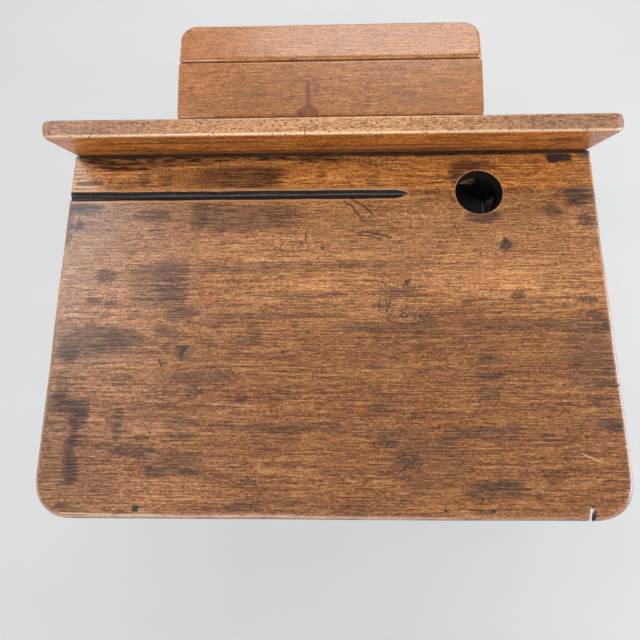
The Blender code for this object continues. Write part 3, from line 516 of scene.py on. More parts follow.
# %% Paths and sections
PATH_STEPS = 9
BEAD = 0.008
BEAD_HALF = 0.006
WEB_HALF = 0.0025
SCROLL_BAR = 0.0075
SCROLL_HALF = 0.0045
SMALLEST_RING = 1.2 * SCROLL_BAR
SMALLEST_CURL = 2.6 * SCROLL_BAR
CURL_TURNS = 0.88
CURL_WINDS_IN = 0.7
EYE = 0.85 * SCROLL_BAR
BOSS_EDGE = 0.002


def smooth_path(points):
    """A smooth path through points (Catmull-Rom): each span blends its four nearest points."""
    points = np.asarray(points, dtype=float)
    ends = np.vstack((2 * points[0] - points[1], points, 2 * points[-1] - points[-2]))
    share = np.arange(PATH_STEPS)[None, :, None] / PATH_STEPS
    a, b, c, d = (ends[i:len(ends) - 3 + i, None, :] for i in range(4))
    bend = (2 * a - 5 * b + 4 * c - d) * share**2 + (3 * b - 3 * c + d - a) * share**3
    spans = b + ((c - a) * share + bend) / 2
    return np.vstack((spans.reshape(-1, 2), points[-1:]))


def side_steps(path, closed=False):
    """Unit steps square to a path in side view: the path's slope turned a quarter."""
    if closed:
        step = np.roll(path, -1, axis=0) - np.roll(path, 1, axis=0)
    else:
        step = np.gradient(path, axis=0)
    return np.column_stack((-step[:, 1], step[:, 0])) / np.linalg.norm(step, axis=1)[:, None]


def carried(path, across, thick, closed=False):
    """A section carried along a path: point = path + across * side, and x = thick.

    Across and thick hold one row for each station of the path, or one row for all.
    """
    stations = len(path)
    across = np.broadcast_to(across, (stations, np.shape(across)[-1]))
    thick = np.broadcast_to(thick, across.shape)
    side = side_steps(path, closed)
    rings = np.empty(across.shape + (3,))
    rings[..., 0] = thick
    rings[..., 1] = path[:, None, 0] + across * side[:, None, 0]
    rings[..., 2] = path[:, None, 1] + across * side[:, None, 1]
    if closed:
        return shell(np.concatenate((rings, rings[:1])), caps=False)
    return shell(rings)


def oval(half_across, half_thick, power=2.4, count=20):
    """A rounded section: |a / half| ^ p + |t / half| ^ p = 1, as one row of each."""
    a = np.linspace(0, 2 * math.pi, count, endpoint=False)
    c, s = np.cos(a), np.sin(a)
    return (half_across * np.sign(c) * np.abs(c) ** (2 / power),
            half_thick * np.sign(s) * np.abs(s) ** (2 / power))


def ribbed_member(points, start_width, end_width):
    """A thin web between two round beads, tapering from one width to the other."""
    path = smooth_path(points)
    half = (np.linspace(start_width, end_width, len(path)) - BEAD) / 2
    across, thick = oval(BEAD / 2, BEAD_HALF)
    web_across, web_thick = oval(1, WEB_HALF, 8)
    return [
        carried(path, half[:, None] + across, thick),
        carried(path, across - half[:, None], thick),
        carried(path, half[:, None] * web_across, web_thick),
    ]


def rail(first, last, side, thick, half):
    """A straight flat bar, thickened to one side of its line."""
    first, last, side = np.asarray(first), np.asarray(last), np.asarray(side)
    line = first + np.linspace(0, 1, 12)[:, None] * (last - first) + thick / 2 * side
    across, x = oval(thick / 2, half, 9, 36)
    return [carried(line, across, x)]


def boss(centre, radius, half):
    """A round boss along x, its edges rounded over."""
    edge = quarter(BOSS_EDGE, 5)
    upper = np.column_stack((radius - edge[:, 0], half - edge[:, 1]))
    profile = np.vstack((upper * (1, -1), upper[::-1]))
    rings = turned(profile, 40)[..., [2, 0, 1]]
    return [shell(rings + np.array((0, *centre)))]


def arc(centre, start, turns, reach, steps):
    """Points round a centre: centre + reach * (cos, sin) of the angle, over some turns."""
    angle = start + np.linspace(0, turns, steps) * 2 * math.pi
    reach = np.broadcast_to(reach, len(angle))[:, None]
    return np.asarray(centre) + reach * np.column_stack((np.cos(angle), np.sin(angle)))


def scroll(centre, radius, start, hand):
    """A ring with a curl inside that winds down to a round eye, as half a cosine wave."""
    if radius < SMALLEST_RING:
        return []
    section = oval(SCROLL_BAR / 2, SCROLL_HALF)
    parts = [carried(arc(centre, start, 1, radius, 49)[:-1], *section, closed=True)]
    if radius < SMALLEST_CURL:
        return parts
    fall = (1 - np.cos(np.linspace(0, math.pi, 40))) / 2
    curl = arc(centre, start, hand * CURL_TURNS, radius * (1 - CURL_WINDS_IN * fall), 40)
    parts.append(carried(curl, *section))
    return parts + boss(curl[-1], EYE, BEAD_HALF)


def between(start, end, shares):
    """Points between two anchors, from shares of the way along y and along z."""
    start, end = np.asarray(start), np.asarray(end)
    return [start + np.array(share) * (end - start) for share in shares]


print("steps on a path through 8 points:", len(smooth_path(np.eye(2)[[0, 1] * 4])))

# %% Members of a standard
COLUMN = 0.036
REAR_LEG = 0.038
LEG_FOOT = 0.028
BRACKET = 0.024
HINGE_ROOT, HINGE_END = 0.044, 0.030
RAIL_HALF = 0.018
FRONT_FOOT = np.array((0.262, 0))
REAR_FOOT = np.array((-0.165, 0))
FOOT_THICK = 0.009
FOOT_HALF_WIDTH, FOOT_HALF_LENGTH = 0.024, 0.040
FOOT_CORNER, FOOT_EDGE = 0.012, 0.0025
BOSS_RADIUS, BOSS_HALF = 0.017, 0.010
# Paths of the members, in shares of the way along y and along z between their two ends
REAR_LEG_SHARES = ((0.10, -0.24), (0.02, -0.04), (0.06, 0.16), (0.22, 0.38), (0.50, 0.55),
                   (0.76, 0.68), (0.93, 0.86), (1, 0.98))
FRONT_LEG_SHARES = ((0.15, 0.22), (0.40, 0.47), (0.72, 0.76), (1, 0.974))
BRACKET_SHARES = ((0, 0), (0.20, 0.14), (0.42, 0.26), (0.66, 0.36), (0.87, 0.50), (0.99, 0.74),
                  (1, 1))
HINGE_SHARES = ((0, 0), (0.40, 0.26), (0.88, 0.54), (1, 1))
FORK_SHARE = 0.80
RAIL_SHARE = 0.80
BRACKET_ROOT_SHARE = 0.38
HINGE_ROOT_SHARE = 0.42


def rail_under_desk(reach):
    """Height of the top of the rail under the desktop, at a reach of y from the seam."""
    drop = (DESK_THICK + FIT_GAP) / math.cos(DESK_SLOPE)
    return SEAM_HEIGHT - drop + reach * math.tan(DESK_SLOPE)


def on_column(height):
    """The middle of the column at a height: half its width behind the back's face."""
    return np.array((back_line(height) - (FIT_GAP + COLUMN / 2) / math.cos(BACK_LEAN), height))


fork = on_column(PIVOT_HEIGHT * FORK_SHARE)
column_top = rail_under_desk(0) - RAIL / 2 - COLUMN / 2 * math.sin(BACK_LEAN)
upper = [on_column(height) for height in np.linspace(column_top, fork[1], 5)]
front_leg = between(fork, FRONT_FOOT, FRONT_LEG_SHARES)
front_points = upper + front_leg
rear_points = between(fork, REAR_FOOT, REAR_LEG_SHARES)
rail_front = -RAIL_SHARE * DESK_DEPTH
front_top = np.array((rail_front + BRACKET / 2, rail_under_desk(rail_front) - RAIL / 2))
bracket_root = on_column(fork[1] + (SHELF_TOP - fork[1]) * BRACKET_ROOT_SHARE)
bracket_points = between(bracket_root, front_top, BRACKET_SHARES)
hinge_root = fork + (front_leg[0] - fork) * HINGE_ROOT_SHARE
ledge = SHELF_TOP - SHELF_THICK - FIT_GAP
ledge_front = shelf_back - SHELF_DEPTH + BRACKET / 2
print("fork of the legs at height in mm:", round(1000 * fork[1]))


# %% Rails, scrolls and feet
LEDGE_SCROLLS = ((0.17, 1), (0.42, 1), (0.61, 1), (0.75, 1))
BOX_SCROLLS = ((0.27, 1), (0.68, -1))
SCROLL_BITE = 0.0018
CROTCH_SHARES = (0.30, 0.38)
CROTCH_SIZE = 0.31
TIE_SHARES = ((0.50, 0.55), (0.50, 0.56))


def foot_plate(centre):
    """A flat foot with round corners and a soft upper edge, standing on the floor."""
    outline, outward = board_outline(FOOT_HALF_WIDTH, centre[0] - FOOT_HALF_LENGTH,
                                     centre[0] + FOOT_HALF_LENGTH, FOOT_CORNER, FOOT_CORNER)
    points, faces = shell(board_surface(outline, outward, FOOT_THICK, FOOT_EDGE, 0))
    return [(points + (0, 0, FOOT_THICK), faces)]


def standard_rails():
    """The three flat bars that the wood is screwed to."""
    lean = square_to(BACK_LEAN)
    face = np.array((-FIT_GAP / math.cos(BACK_LEAN), 0))
    low_end = SEAM - (BACK_BOTTOM + 2 * (SLAT_GAP + SLAT)) * lean + face
    top_end = np.array((back_line(column_top), column_top)) + face
    parts = rail((rail_front, rail_under_desk(rail_front)), (-0.002, rail_under_desk(-0.002)),
                 -square_to(DESK_SLOPE), RAIL, RAIL_HALF)
    parts += rail(low_end, top_end, -heading(BACK_LEAN), RAIL, RAIL_HALF)
    return parts + rail((ledge_front, ledge), (on_column(ledge)[0], ledge), (0, -1), RAIL, RAIL_HALF)


def scroll_between(reach, low, high, hand):
    """A scroll that fills the height between two members and bites a little into each."""
    radius = (high - low - SCROLL_BAR) / 2 + SCROLL_BITE
    return scroll((reach, (low + high) / 2), radius, -math.pi / 2, hand)


def standard_scrolls():
    """Scrolls under the ledge, in the side of the book box and in the crotch of the legs."""
    bracket = smooth_path(bracket_points)
    width = np.linspace(COLUMN, BRACKET, len(bracket))
    ledge_back = on_column(ledge)[0] - COLUMN / 2
    run = ledge_back - ledge_front
    order = np.argsort(bracket[:, 0])
    parts = []
    for share, hand in LEDGE_SCROLLS:
        reach = ledge_back - share * run
        low = np.interp(reach, bracket[order, 0], (bracket[:, 1] + width / 2)[order])
        parts += scroll_between(reach, low, ledge - RAIL, hand)
    for share, hand in BOX_SCROLLS:
        reach = ledge_back - share * run
        parts += scroll_between(reach, ledge, rail_under_desk(reach) - RAIL, hand)
    front_side = fork + np.array(CROTCH_SHARES) * (FRONT_FOOT - fork)
    rear_side = np.asarray(rear_points[3])
    crotch = (front_side + rear_side) / 2
    radius = CROTCH_SIZE * np.linalg.norm(front_side - rear_side)
    parts += scroll(crotch, radius, math.pi / 2, 1)
    rear_tie, front_tie = (fork + np.array(share) * (foot - fork)
                           for share, foot in zip(TIE_SHARES, (REAR_FOOT, FRONT_FOOT)))
    tie = [rear_tie, crotch + np.array((0, -radius)), front_tie]
    return parts + [carried(smooth_path(tie), *oval(SCROLL_BAR / 2, SCROLL_HALF))]


def all_of_standard():
    """Every member of a standard round its middle plane, x = 0, with y from the seam."""
    parts = ribbed_member(front_points, COLUMN, LEG_FOOT)
    parts += ribbed_member(rear_points, REAR_LEG, LEG_FOOT)
    parts += ribbed_member(bracket_points, COLUMN, BRACKET)
    parts += ribbed_member(between(hinge_root, PIVOT, HINGE_SHARES), HINGE_ROOT, HINGE_END)
    parts += standard_rails() + standard_scrolls() + boss(PIVOT, BOSS_RADIUS, BOSS_HALF)
    return parts + foot_plate(FRONT_FOOT) + foot_plate(REAR_FOOT)


# %% Fuse and relax the castings
STANDARD_VOXEL = 0.0021
ARM_VOXEL = 0.0015
HUB_RADIUS, HUB_HALF = 0.019, 0.006
HEEL_THICK, HEEL_LENGTH = 0.012, 0.052
STOP_DEEP, STOP_CUT = 0.017, 0.0085
STOP_LOW, STOP_HIGH = -0.055, -0.026
arm_x = STANDARD_X - BOSS_HALF - FIT_GAP - HUB_HALF


def cast(name, parts, voxel, rounds):
    """Fuse closed shapes into one skin, then let it relax into fillets."""
    thing = make_object(name, *joined(parts))
    remesh = thing.modifiers.new("fuse", "REMESH")
    remesh.mode, remesh.voxel_size, remesh.adaptivity = "VOXEL", voxel, 0
    relax = thing.modifiers.new("relax", "SMOOTH")
    relax.factor, relax.iterations = 0.5, rounds
    settle(thing)
    thing.data.shade_smooth()
    return thing


stop_front = -HEEL_THICK / 2 - FIT_GAP
stop_back = stop_front - STOP_DEEP
STOP = PIVOT + np.array(((stop_back, STOP_LOW + STOP_CUT), (stop_back + STOP_CUT, STOP_LOW),
                         (stop_front, STOP_LOW), (stop_front, STOP_HIGH), (stop_back, STOP_HIGH)))
FLOOR_HOLE = 0.0075
FLOOR_HOLE_OFFSET = 0.014
hole_profile = ((FLOOR_HOLE / 2, -FOOT_THICK), (FLOOR_HOLE / 2, FOOT_THICK))
standard_parts = all_of_standard()
for side_name, sign in (("left", -1), ("right", 1)):
    inner_face = -sign * (STANDARD_X - arm_x + HUB_HALF)
    rings = np.stack([np.column_stack((np.full(5, x), STOP)) for x in sorted((0, inner_face))])
    parts = [(moved(p, Matrix.Translation((sign * STANDARD_X, SEAM_Y, 0))), f)
             for p, f in standard_parts + [shell(rings)]]
    standard = cast("standard_" + side_name, parts, STANDARD_VOXEL, 3)
    points, faces = shell(turned(hole_profile, 24)[::-1])
    for x in (-FLOOR_HOLE_OFFSET, FLOOR_HOLE_OFFSET):
        for foot in (FRONT_FOOT, REAR_FOOT):
            spot = (sign * STANDARD_X + x, SEAM_Y + foot[0], FOOT_THICK / 2)
            cut(standard, points + spot, faces, "MANIFOLD")
    keep_piece(standard, "standard_" + side_name, "desk", "iron")
    print(standard.name, "faces:", len(standard.data.polygons))

# %% [markdown]
# ## Seat arms
#
# Each arm is a casting as well: a flange that the three seat boards are screwed to, a web
# under it with a bead along its lower edge, a hub for the bolt and a heel that rests on the
# standard's stop block when the seat is down.


# %% Seat arms
FOLD = math.radians(100)
ARM_REAR_ANGLE = 3 * math.pi / 2 - FOLD
ARM_REAR_REACH = 0.026 - FIT_GAP
ARM_TIP_SHARE = 0.92
ARM_FLANGE_HALF = 0.012
ARM_WEB_HALF = 0.003
ARM_BEAD = (0.0032, 0.005)
ARM_TIP_DEEP = 0.013
ARM_SHARES = ((0, 0), (0.30, 0.42), (0.65, 0.80), (1, 1))


def crossing(spot, way, other_spot, other_way):
    """Where two lines in side view cross."""
    share = np.linalg.solve(np.column_stack((way, -other_way)), other_spot - spot)[0]
    return spot + share * way


def seat_under(depth):
    """The line along the seat at a depth under its boards, from the rear stop to the tip."""
    lines = [(start - PIVOT - depth * square_to(slope), heading(slope))
             for _, start, _, slope in SEAT_BOARDS]
    rear_face = ARM_REAR_REACH * heading(ARM_REAR_ANGLE)
    first = crossing(*lines[0], rear_face, square_to(ARM_REAR_ANGLE))
    tip = lines[2][0] + ARM_TIP_SHARE * FRONT_BOARD * lines[2][1]
    return np.array([first, crossing(*lines[0], *lines[1]), crossing(*lines[1], *lines[2]), tip])


def stepped(points, count):
    """A path with corners, each straight run cut into equal steps."""
    share = np.arange(count)[:, None] / count
    runs = [a + share * (b - a) for a, b in zip(points, points[1:])]
    return np.vstack(runs + [points[-1:]])


def plate(outline, half):
    """A flat plate: its outline in side view, carried from -half to +half along x."""
    rings = np.stack([np.column_stack((np.full(len(outline), x), outline)) for x in (-half, half)])
    return [shell(rings)]


def all_of_arm():
    """Every member of a seat arm round its middle plane, drawn from the hinge line."""
    depth = SEAT_THICK + FIT_GAP
    middle = seat_under(depth + RAIL / 2)
    middle[0] += 0.006 * heading(REAR_SLOPE)
    across, x = oval(RAIL / 2, ARM_FLANGE_HALF, 9, 32)
    parts = [carried(stepped(middle, 8), across, x)]
    tip_low = seat_under(depth + ARM_TIP_DEEP)[-1]
    hub_low = 0.9 * HUB_RADIUS * heading(math.radians(-72))
    low_edge = smooth_path(between(hub_low, tip_low, ARM_SHARES))
    rear_low = ARM_REAR_REACH * heading(ARM_REAR_ANGLE)
    web = np.vstack((low_edge, seat_under(depth + RAIL / 2)[::-1], [rear_low]))
    parts += plate(web, ARM_WEB_HALF)
    parts.append(carried(low_edge[:-2], *oval(*ARM_BEAD)))
    parts += boss((0, 0), HUB_RADIUS, HUB_HALF)
    heel_x = HEEL_THICK / 2
    return parts + rail((heel_x, -HEEL_LENGTH), (heel_x, 0), (-1, 0), HEEL_THICK, HUB_HALF)


arm_parts = all_of_arm()
for side_name, sign in (("left", -1), ("right", 1)):
    spot = Matrix.Translation((sign * arm_x, SEAM_Y + PIVOT[0], PIVOT[1]))
    parts = [(moved(p, spot), f) for p, f in arm_parts]
    arm = cast("seat_arm_" + side_name, parts, ARM_VOXEL, 2)
    keep_piece(arm, "seat_arm_" + side_name, "seat", "iron")
    print(arm.name, "faces:", len(arm.data.polygons))

# %% [markdown]
# ## Screws, bolts and nuts
#
# Slotted round-headed screws hold the wood, and a bolt with a nut is the hinge on each side.
# A screw is a turned surface, its radius a function of the turn and of the height, so the
# thread is a ramp that climbs once round for each pitch. The slot is cut with a Boolean, and
# one screw's points are then placed again for each of the others.


# %% One screw
SCREW_RADIUS = 0.0021
SCREW_HEAD = 0.0040
SCREW_HEAD_THICK = 0.0025
SCREW_SIDES = 14
SCREW_TIP = 0.003
SLOT = (0.0009, 0.0012)
THREAD_PITCH = 0.0016
THREAD_DEEP = 0.0005


def dome(radius, thick, steps=8):
    """Profile of a domed head above its seat at height 0: a quarter of an ellipse."""
    a = np.linspace(0.06, math.pi / 2, steps)
    return np.column_stack((radius * np.sin(a), -thick * np.cos(a)))


def screw_surface(length, threaded):
    """Rings of a screw: dome, shank, then a thread whose depth is a triangle wave.

    The wave's phase is height / pitch less the share of the turn, so that it climbs as a
    thread does, and both thread and shank shrink to a point over the last 3 mm.
    """
    shank = np.linspace(0, length, 44)
    share = np.clip((length - shank) / SCREW_TIP, 0, 1)
    profile = np.vstack((dome(SCREW_HEAD, SCREW_HEAD_THICK),
                         np.column_stack((SCREW_RADIUS * np.maximum(share, 0.04), shank))))
    rings = turned(profile, SCREW_SIDES)
    turn = np.arange(SCREW_SIDES) / SCREW_SIDES
    height = profile[:, 1:]
    wave = np.abs(2 * ((height / THREAD_PITCH - turn[None, :]) % 1) - 1)
    on = (height > length - threaded) * np.clip((length - height) / SCREW_TIP, 0, 1)
    rings[..., :2] *= (1 - THREAD_DEEP / SCREW_RADIUS * wave * on)[..., None]
    return rings


def slotted(name, rings, head, thick, slot):
    """Cut a slot (width, depth) across the top of a head, and give back points and faces."""
    thing = make_object(name, *shell(rings))
    x, y = head * 1.2, slot[0] / 2
    ring = np.array(((-x, -y), (x, -y), (x, y), (-x, y)))
    ends = (-thick * 1.5, -thick + slot[1])
    cut(thing, *shell(np.stack([np.column_stack((ring, np.full(4, z))) for z in ends])))
    points = np.array([v.co for v in thing.data.vertices])
    faces = [list(face.vertices) for face in thing.data.polygons]
    bpy.data.objects.remove(thing, do_unlink=True)
    return points, faces


def one_screw(length, threaded):
    """Points and faces of a slotted screw."""
    return slotted("screw", screw_surface(length, threaded), SCREW_HEAD, SCREW_HEAD_THICK, SLOT)


wood_screw = one_screw(RAIL + FIT_GAP + 0.010, 0.0095)
shelf_screw = one_screw(RAIL + FIT_GAP + SHELF_THICK * 0.6, 0.0065)
print("points on a screw:", len(wood_screw[0]))

# %% Screws in their places
UP = Matrix.Identity(4)
DOWN = Matrix.Rotation(math.pi, 4, "X")
BESIDE = 0.0125
BESIDE_ARM = 0.0075
back_side = RAIL + 2 * FIT_GAP
slot_turns = np.random.default_rng(7)


def side_pair(offset):
    """The same offset from both standards, positive away from the middle."""
    return (-STANDARD_X - offset, STANDARD_X + offset)


def screw_places(plane, across, along, depth, way):
    """Places for screws in a board's plane: heads at the depth, tips into the wood."""
    return [plane @ Matrix.Translation((x, y, depth)) @ way for x in across for y in along]


inner = side_pair(-BESIDE)
both = inner + side_pair(BESIDE)
desk_rows = [-share * DESK_DEPTH for share in (0.10, 0.42, 0.74)]
top_rows = [-share * BACK_BOTTOM for share in (0.25, 0.80)]
shelf_rows = [-share * SHELF_DEPTH for share in (0.15, 0.85)]
rows_of = {
    "desktop_screw": (planes_desk, inner, desk_rows, -DESK_THICK - back_side, UP),
    "top_board_screw": (back, inner, top_rows, back_side, DOWN),
    "middle_slat_screw": (planes["back_middle_slat"], both, [SLAT / 2], back_side, DOWN),
    "lower_slat_screw": (planes["back_lower_slat"], both, [SLAT / 2], back_side, DOWN),
    "shelf_screw": (planes["book_shelf"], inner, shelf_rows, -SHELF_THICK - back_side, UP),
}
screws = {kind: screw_places(*row) for kind, row in rows_of.items()}
screws["seat_screw"] = []
seat_across = (arm_x - BESIDE_ARM, BESIDE_ARM - arm_x)
for name, _, width, _ in SEAT_BOARDS:
    rows = [share * width for share in (0.25, 0.75)]
    screws["seat_screw"] += screw_places(planes[name], seat_across, rows, -SEAT_THICK - back_side, UP)
for kind, places in screws.items():
    points, faces = shelf_screw if kind == "shelf_screw" else wood_screw
    for number, place in enumerate(places, 1):
        turned_slot = place @ Matrix.Rotation(slot_turns.uniform(0, math.pi), 4, "Z")
        screw = smooth(make_object(kind, moved(points, turned_slot), faces))
        keep_piece(screw, f"{kind}_{number}", "seat" if kind == "seat_screw" else "desk", "steel")
print("screws:", sum(len(places) for places in screws.values()))

# %% Hinge bolts and nuts
BOLT_HEAD = 0.011
BOLT_HEAD_THICK = 0.005
BOLT_RADIUS = 0.005
BOLT_CHAMFER = 0.0008
BOLT_SLOT = (0.0018, 0.002)
NUT_WIDTH = 0.016
NUT_THICK = 0.008
NUT_SIDES = 72
NUT_HEIGHTS = np.array((0, 0.0006, 0.0012, 0.0040, 0.0068, 0.0074, NUT_THICK))
CHAMFER_RISE = 1.7
CHAMFER_INSET = 0.0003
bolt_grip = 2 * BOSS_HALF + 2 * HUB_HALF + 3 * FIT_GAP
bolt_end = bolt_grip + NUT_THICK + 0.003


def nut_surface():
    """A six-sided nut: radius = half the width / cos of the angle from the nearest flat.

    A cone over each end trims the corners to a chamfer, so radius = min(flat, cone).
    """
    a = np.linspace(0, 2 * math.pi, NUT_SIDES, endpoint=False)
    flat = NUT_WIDTH / 2 / np.cos((a + math.pi / 6) % (math.pi / 3) - math.pi / 6)
    to_end = np.minimum(NUT_HEIGHTS, NUT_THICK - NUT_HEIGHTS)
    cone = NUT_WIDTH / 2 + CHAMFER_RISE * to_end - CHAMFER_INSET
    bore = np.full((1, NUT_SIDES), BOLT_RADIUS)
    radius = np.vstack((bore, np.minimum(flat[None, :], cone[:, None]), bore))
    height = np.concatenate(([0], NUT_HEIGHTS, [NUT_THICK]))[:, None]
    height = np.broadcast_to(height, radius.shape)
    rings = np.stack((radius * np.cos(a), radius * np.sin(a), height), -1)
    return np.concatenate((rings, rings[:1]))


profile = np.vstack((dome(BOLT_HEAD, BOLT_HEAD_THICK, 12), (BOLT_RADIUS, 0),
                     (BOLT_RADIUS, bolt_end - BOLT_CHAMFER), (BOLT_RADIUS - BOLT_CHAMFER, bolt_end)))
bolt = slotted("bolt", turned(profile, 48), BOLT_HEAD, BOLT_HEAD_THICK, BOLT_SLOT)
nut = shell(nut_surface(), caps=False)
for side_name, sign in (("left", -1), ("right", 1)):
    inward = Matrix.Rotation(-sign * math.pi / 2, 4, "Y")
    under_head = plane_at(PIVOT, 0, sign * (STANDARD_X + BOSS_HALF + FIT_GAP)) @ inward
    bolt_piece = smooth(make_object("pivot_bolt", moved(bolt[0], under_head), bolt[1]))
    keep_piece(bolt_piece, "pivot_bolt_" + side_name, "desk", "steel")
    place = under_head @ Matrix.Translation((0, 0, bolt_grip))
    nut_piece = smooth(make_object("pivot_nut", moved(nut[0], place), nut[1]), math.radians(25))
    keep_piece(nut_piece, "pivot_nut_" + side_name, "desk", "steel")
print("pieces so far:", len(pieces))

# %% [markdown]
# ## Materials from nodes
#
# A material is a small graph: coordinates go in at the left, patterns are mixed in the middle,
# and one Principled shader closes it. A few helpers keep the graphs readable: one for each kind
# of node that is used often, and one that lays a list of masks over a colour. Effects that more
# than one material uses are node groups with named sockets.


# %% Helpers for node graphs
DYE = "MULTIPLY"
PAINT = "MIX"


def feed(tree, node, inputs):
    """Give a node its inputs: each is a socket to link or a value to set."""
    for key, value in inputs.items():
        if isinstance(value, bpy.types.NodeSocket):
            tree.links.new(value, node.inputs[key])
        else:
            node.inputs[key].default_value = value
    return node


def add_node(tree, kind, inputs=None, **settings):
    """A node with its settings and its inputs."""
    node = tree.nodes.new("ShaderNode" + kind)
    for key, value in settings.items():
        setattr(node, key, value)
    return feed(tree, node, inputs or {})


def maths(tree, operation, *values, clamp=False):
    """Output of a Math node."""
    node = add_node(tree, "Math", dict(enumerate(values)), operation=operation, use_clamp=clamp)
    return node.outputs[0]


def carried_through(tree, operation, first, *others):
    """One operation on a row of numbers, two at a time from the left."""
    for other in others:
        first = maths(tree, operation, first, other)
    return first


def product(tree, *values):
    """Numbers multiplied together."""
    return carried_through(tree, "MULTIPLY", *values)


def strongest(tree, *values):
    """The largest of several numbers."""
    return carried_through(tree, "MAXIMUM", *values)


def inverse(tree, value):
    """One less a number."""
    return maths(tree, "SUBTRACT", 1.0, value)


def vectors(tree, operation, *values):
    """Output of a Vector Math node: its number for a length or dot product, else its vector."""
    node = add_node(tree, "VectorMath", dict(enumerate(values)), operation=operation)
    return node.outputs["Value" if operation in ("LENGTH", "DOT_PRODUCT", "DISTANCE") else "Vector"]


def mixed(tree, factor, first, second, blend=PAINT):
    """Colour output of a Mix node: the second colour painted over the first, or dyeing it."""
    node = add_node(tree, "Mix", data_type="RGBA", blend_type=blend)
    first, second = (colour if isinstance(colour, bpy.types.NodeSocket) else (*colour, 1)
                     for colour in (first, second))
    return feed(tree, node, {0: factor, 6: first, 7: second}).outputs[2]


def layered(tree, colour, *layers):
    """Lay masks over a colour in turn, each of them a row (mask, colour, DYE or PAINT)."""
    for mask, over, blend in layers:
        colour = mixed(tree, mask, colour, over, blend)
    return colour


def ramped(tree, value, low, high, to_low=0.0, to_high=1.0):
    """A number carried smoothly from one range to another, held at both ends."""
    inputs = {0: value, 1: low, 2: high, 3: to_low, 4: to_high}
    node = add_node(tree, "MapRange", inputs, interpolation_type="SMOOTHSTEP")
    return node.outputs[0]


def noise(tree, vector, stretch, detail, roughness=0.5, output="Fac"):
    """Noise on coordinates multiplied by a stretch: waves per metre along x, y and z."""
    stretched = vectors(tree, "MULTIPLY", vector, stretch)
    inputs = {"Vector": stretched, "Scale": 1.0, "Detail": detail, "Roughness": roughness}
    return add_node(tree, "TexNoise", inputs).outputs[output]


def new_group(name, inputs, outputs):
    """An empty node group with named sockets: {name: (kind, value)} in, {name: kind} out."""
    group = bpy.data.node_groups.new(name, "ShaderNodeTree")
    for label, (kind, value) in inputs.items():
        socket = group.interface.new_socket(label, in_out="INPUT", socket_type="NodeSocket" + kind)
        if value is not None:
            socket.default_value = value
    for label, kind in outputs.items():
        group.interface.new_socket(label, in_out="OUTPUT", socket_type="NodeSocket" + kind)
    return group, group.nodes.new("NodeGroupInput").outputs, group.nodes.new("NodeGroupOutput").inputs


def use_group(tree, group, inputs):
    """Outputs of a node that runs a group with its own values."""
    return add_node(tree, "Group", inputs, node_tree=group).outputs


def new_material(name):
    """A material with its tree and its Principled shader."""
    material = bpy.data.materials.new(name)
    material.use_nodes = True
    return material, material.node_tree, material.node_tree.nodes["Principled BSDF"]


def finish_with(tree, shader, colour, roughness, bump, **others):
    """Link a finish to its shader."""
    links = {"Base Color": colour, "Roughness": roughness, "Normal": bump.outputs[0], **others}
    feed(tree, shader, links)


# %% [markdown]
# ### Wood grain
#
# Wood is a bundle of long thin tubes, so every pattern in it is stretched along the grain:
# broad bands of colour, narrower streaks, fine lines, and pores that the stain has filled. One
# noise at several stretches gives them all. A slow warp across the grain keeps the lines from
# being ruled. The group works in the board's own coordinates, x along the grain.

# %% Group: wood grain
# Waves per metre along and across the grain, detail and roughness of each layer
GRAIN_LAYERS = {
    "Bands": (2.2, 26.0, 3.0, 0.55),
    "Streaks": (6.0, 170.0, 3.0, 0.6),
    "Lines": (12.0, 610.0, 1.0, 0.6),
    "Dashes": (60.0, 660.0, 1.0, 0.6),
    "Grit": (300.0, 640.0, 1.0, 0.6),
    "Pores": (95.0, 820.0, 1.0, 0.6),
}
WAVINESS = 0.006
PORE_RANGE = (0.57, 0.68)
LINE_RISE, PORE_DROP = 0.6, 0.8
grain_group, g, out = new_group("wood_grain", {"Vector": ("Vector", None)},
                                {label: "Float" for label in (*GRAIN_LAYERS, "Height")})
slow = noise(grain_group, g["Vector"], (3.0, 9.0, 9.0), 2.0)
across = product(grain_group, maths(grain_group, "SUBTRACT", slow, 0.5), WAVINESS)
offset = add_node(grain_group, "CombineXYZ", {"Y": across, "Z": across}).outputs[0]
warped = vectors(grain_group, "ADD", g["Vector"], offset)
layers = {label: noise(grain_group, warped, (along, wide, wide), detail, rough)
          for label, (along, wide, detail, rough) in GRAIN_LAYERS.items()}
layers["Pores"] = ramped(grain_group, layers["Pores"], *PORE_RANGE)
layers["Height"] = maths(grain_group, "SUBTRACT", product(grain_group, layers["Lines"], LINE_RISE),
                         product(grain_group, layers["Pores"], PORE_DROP))
for label, socket in layers.items():
    grain_group.links.new(socket, out[label])
print("grain group nodes:", len(grain_group.nodes))

# %% [markdown]
# ### Stains, scratches and pecks
#
# The wear on this desk is particular: each stain has a place. A stain is the distance from its
# centre, oval or squarish, in coordinates that each line of the grain shifts a little, because
# ink and dirt run along the tubes. A scratch is the distance to a short line, and pecks are
# cells of a Voronoi pattern, of which only some are struck. Stains and scratches hand on what
# is left of a clean surface, so that a row of them is a product, and the marks are plain
# tables in millimetres. Each stain is one group of four or five nodes, so a long table is cheap.


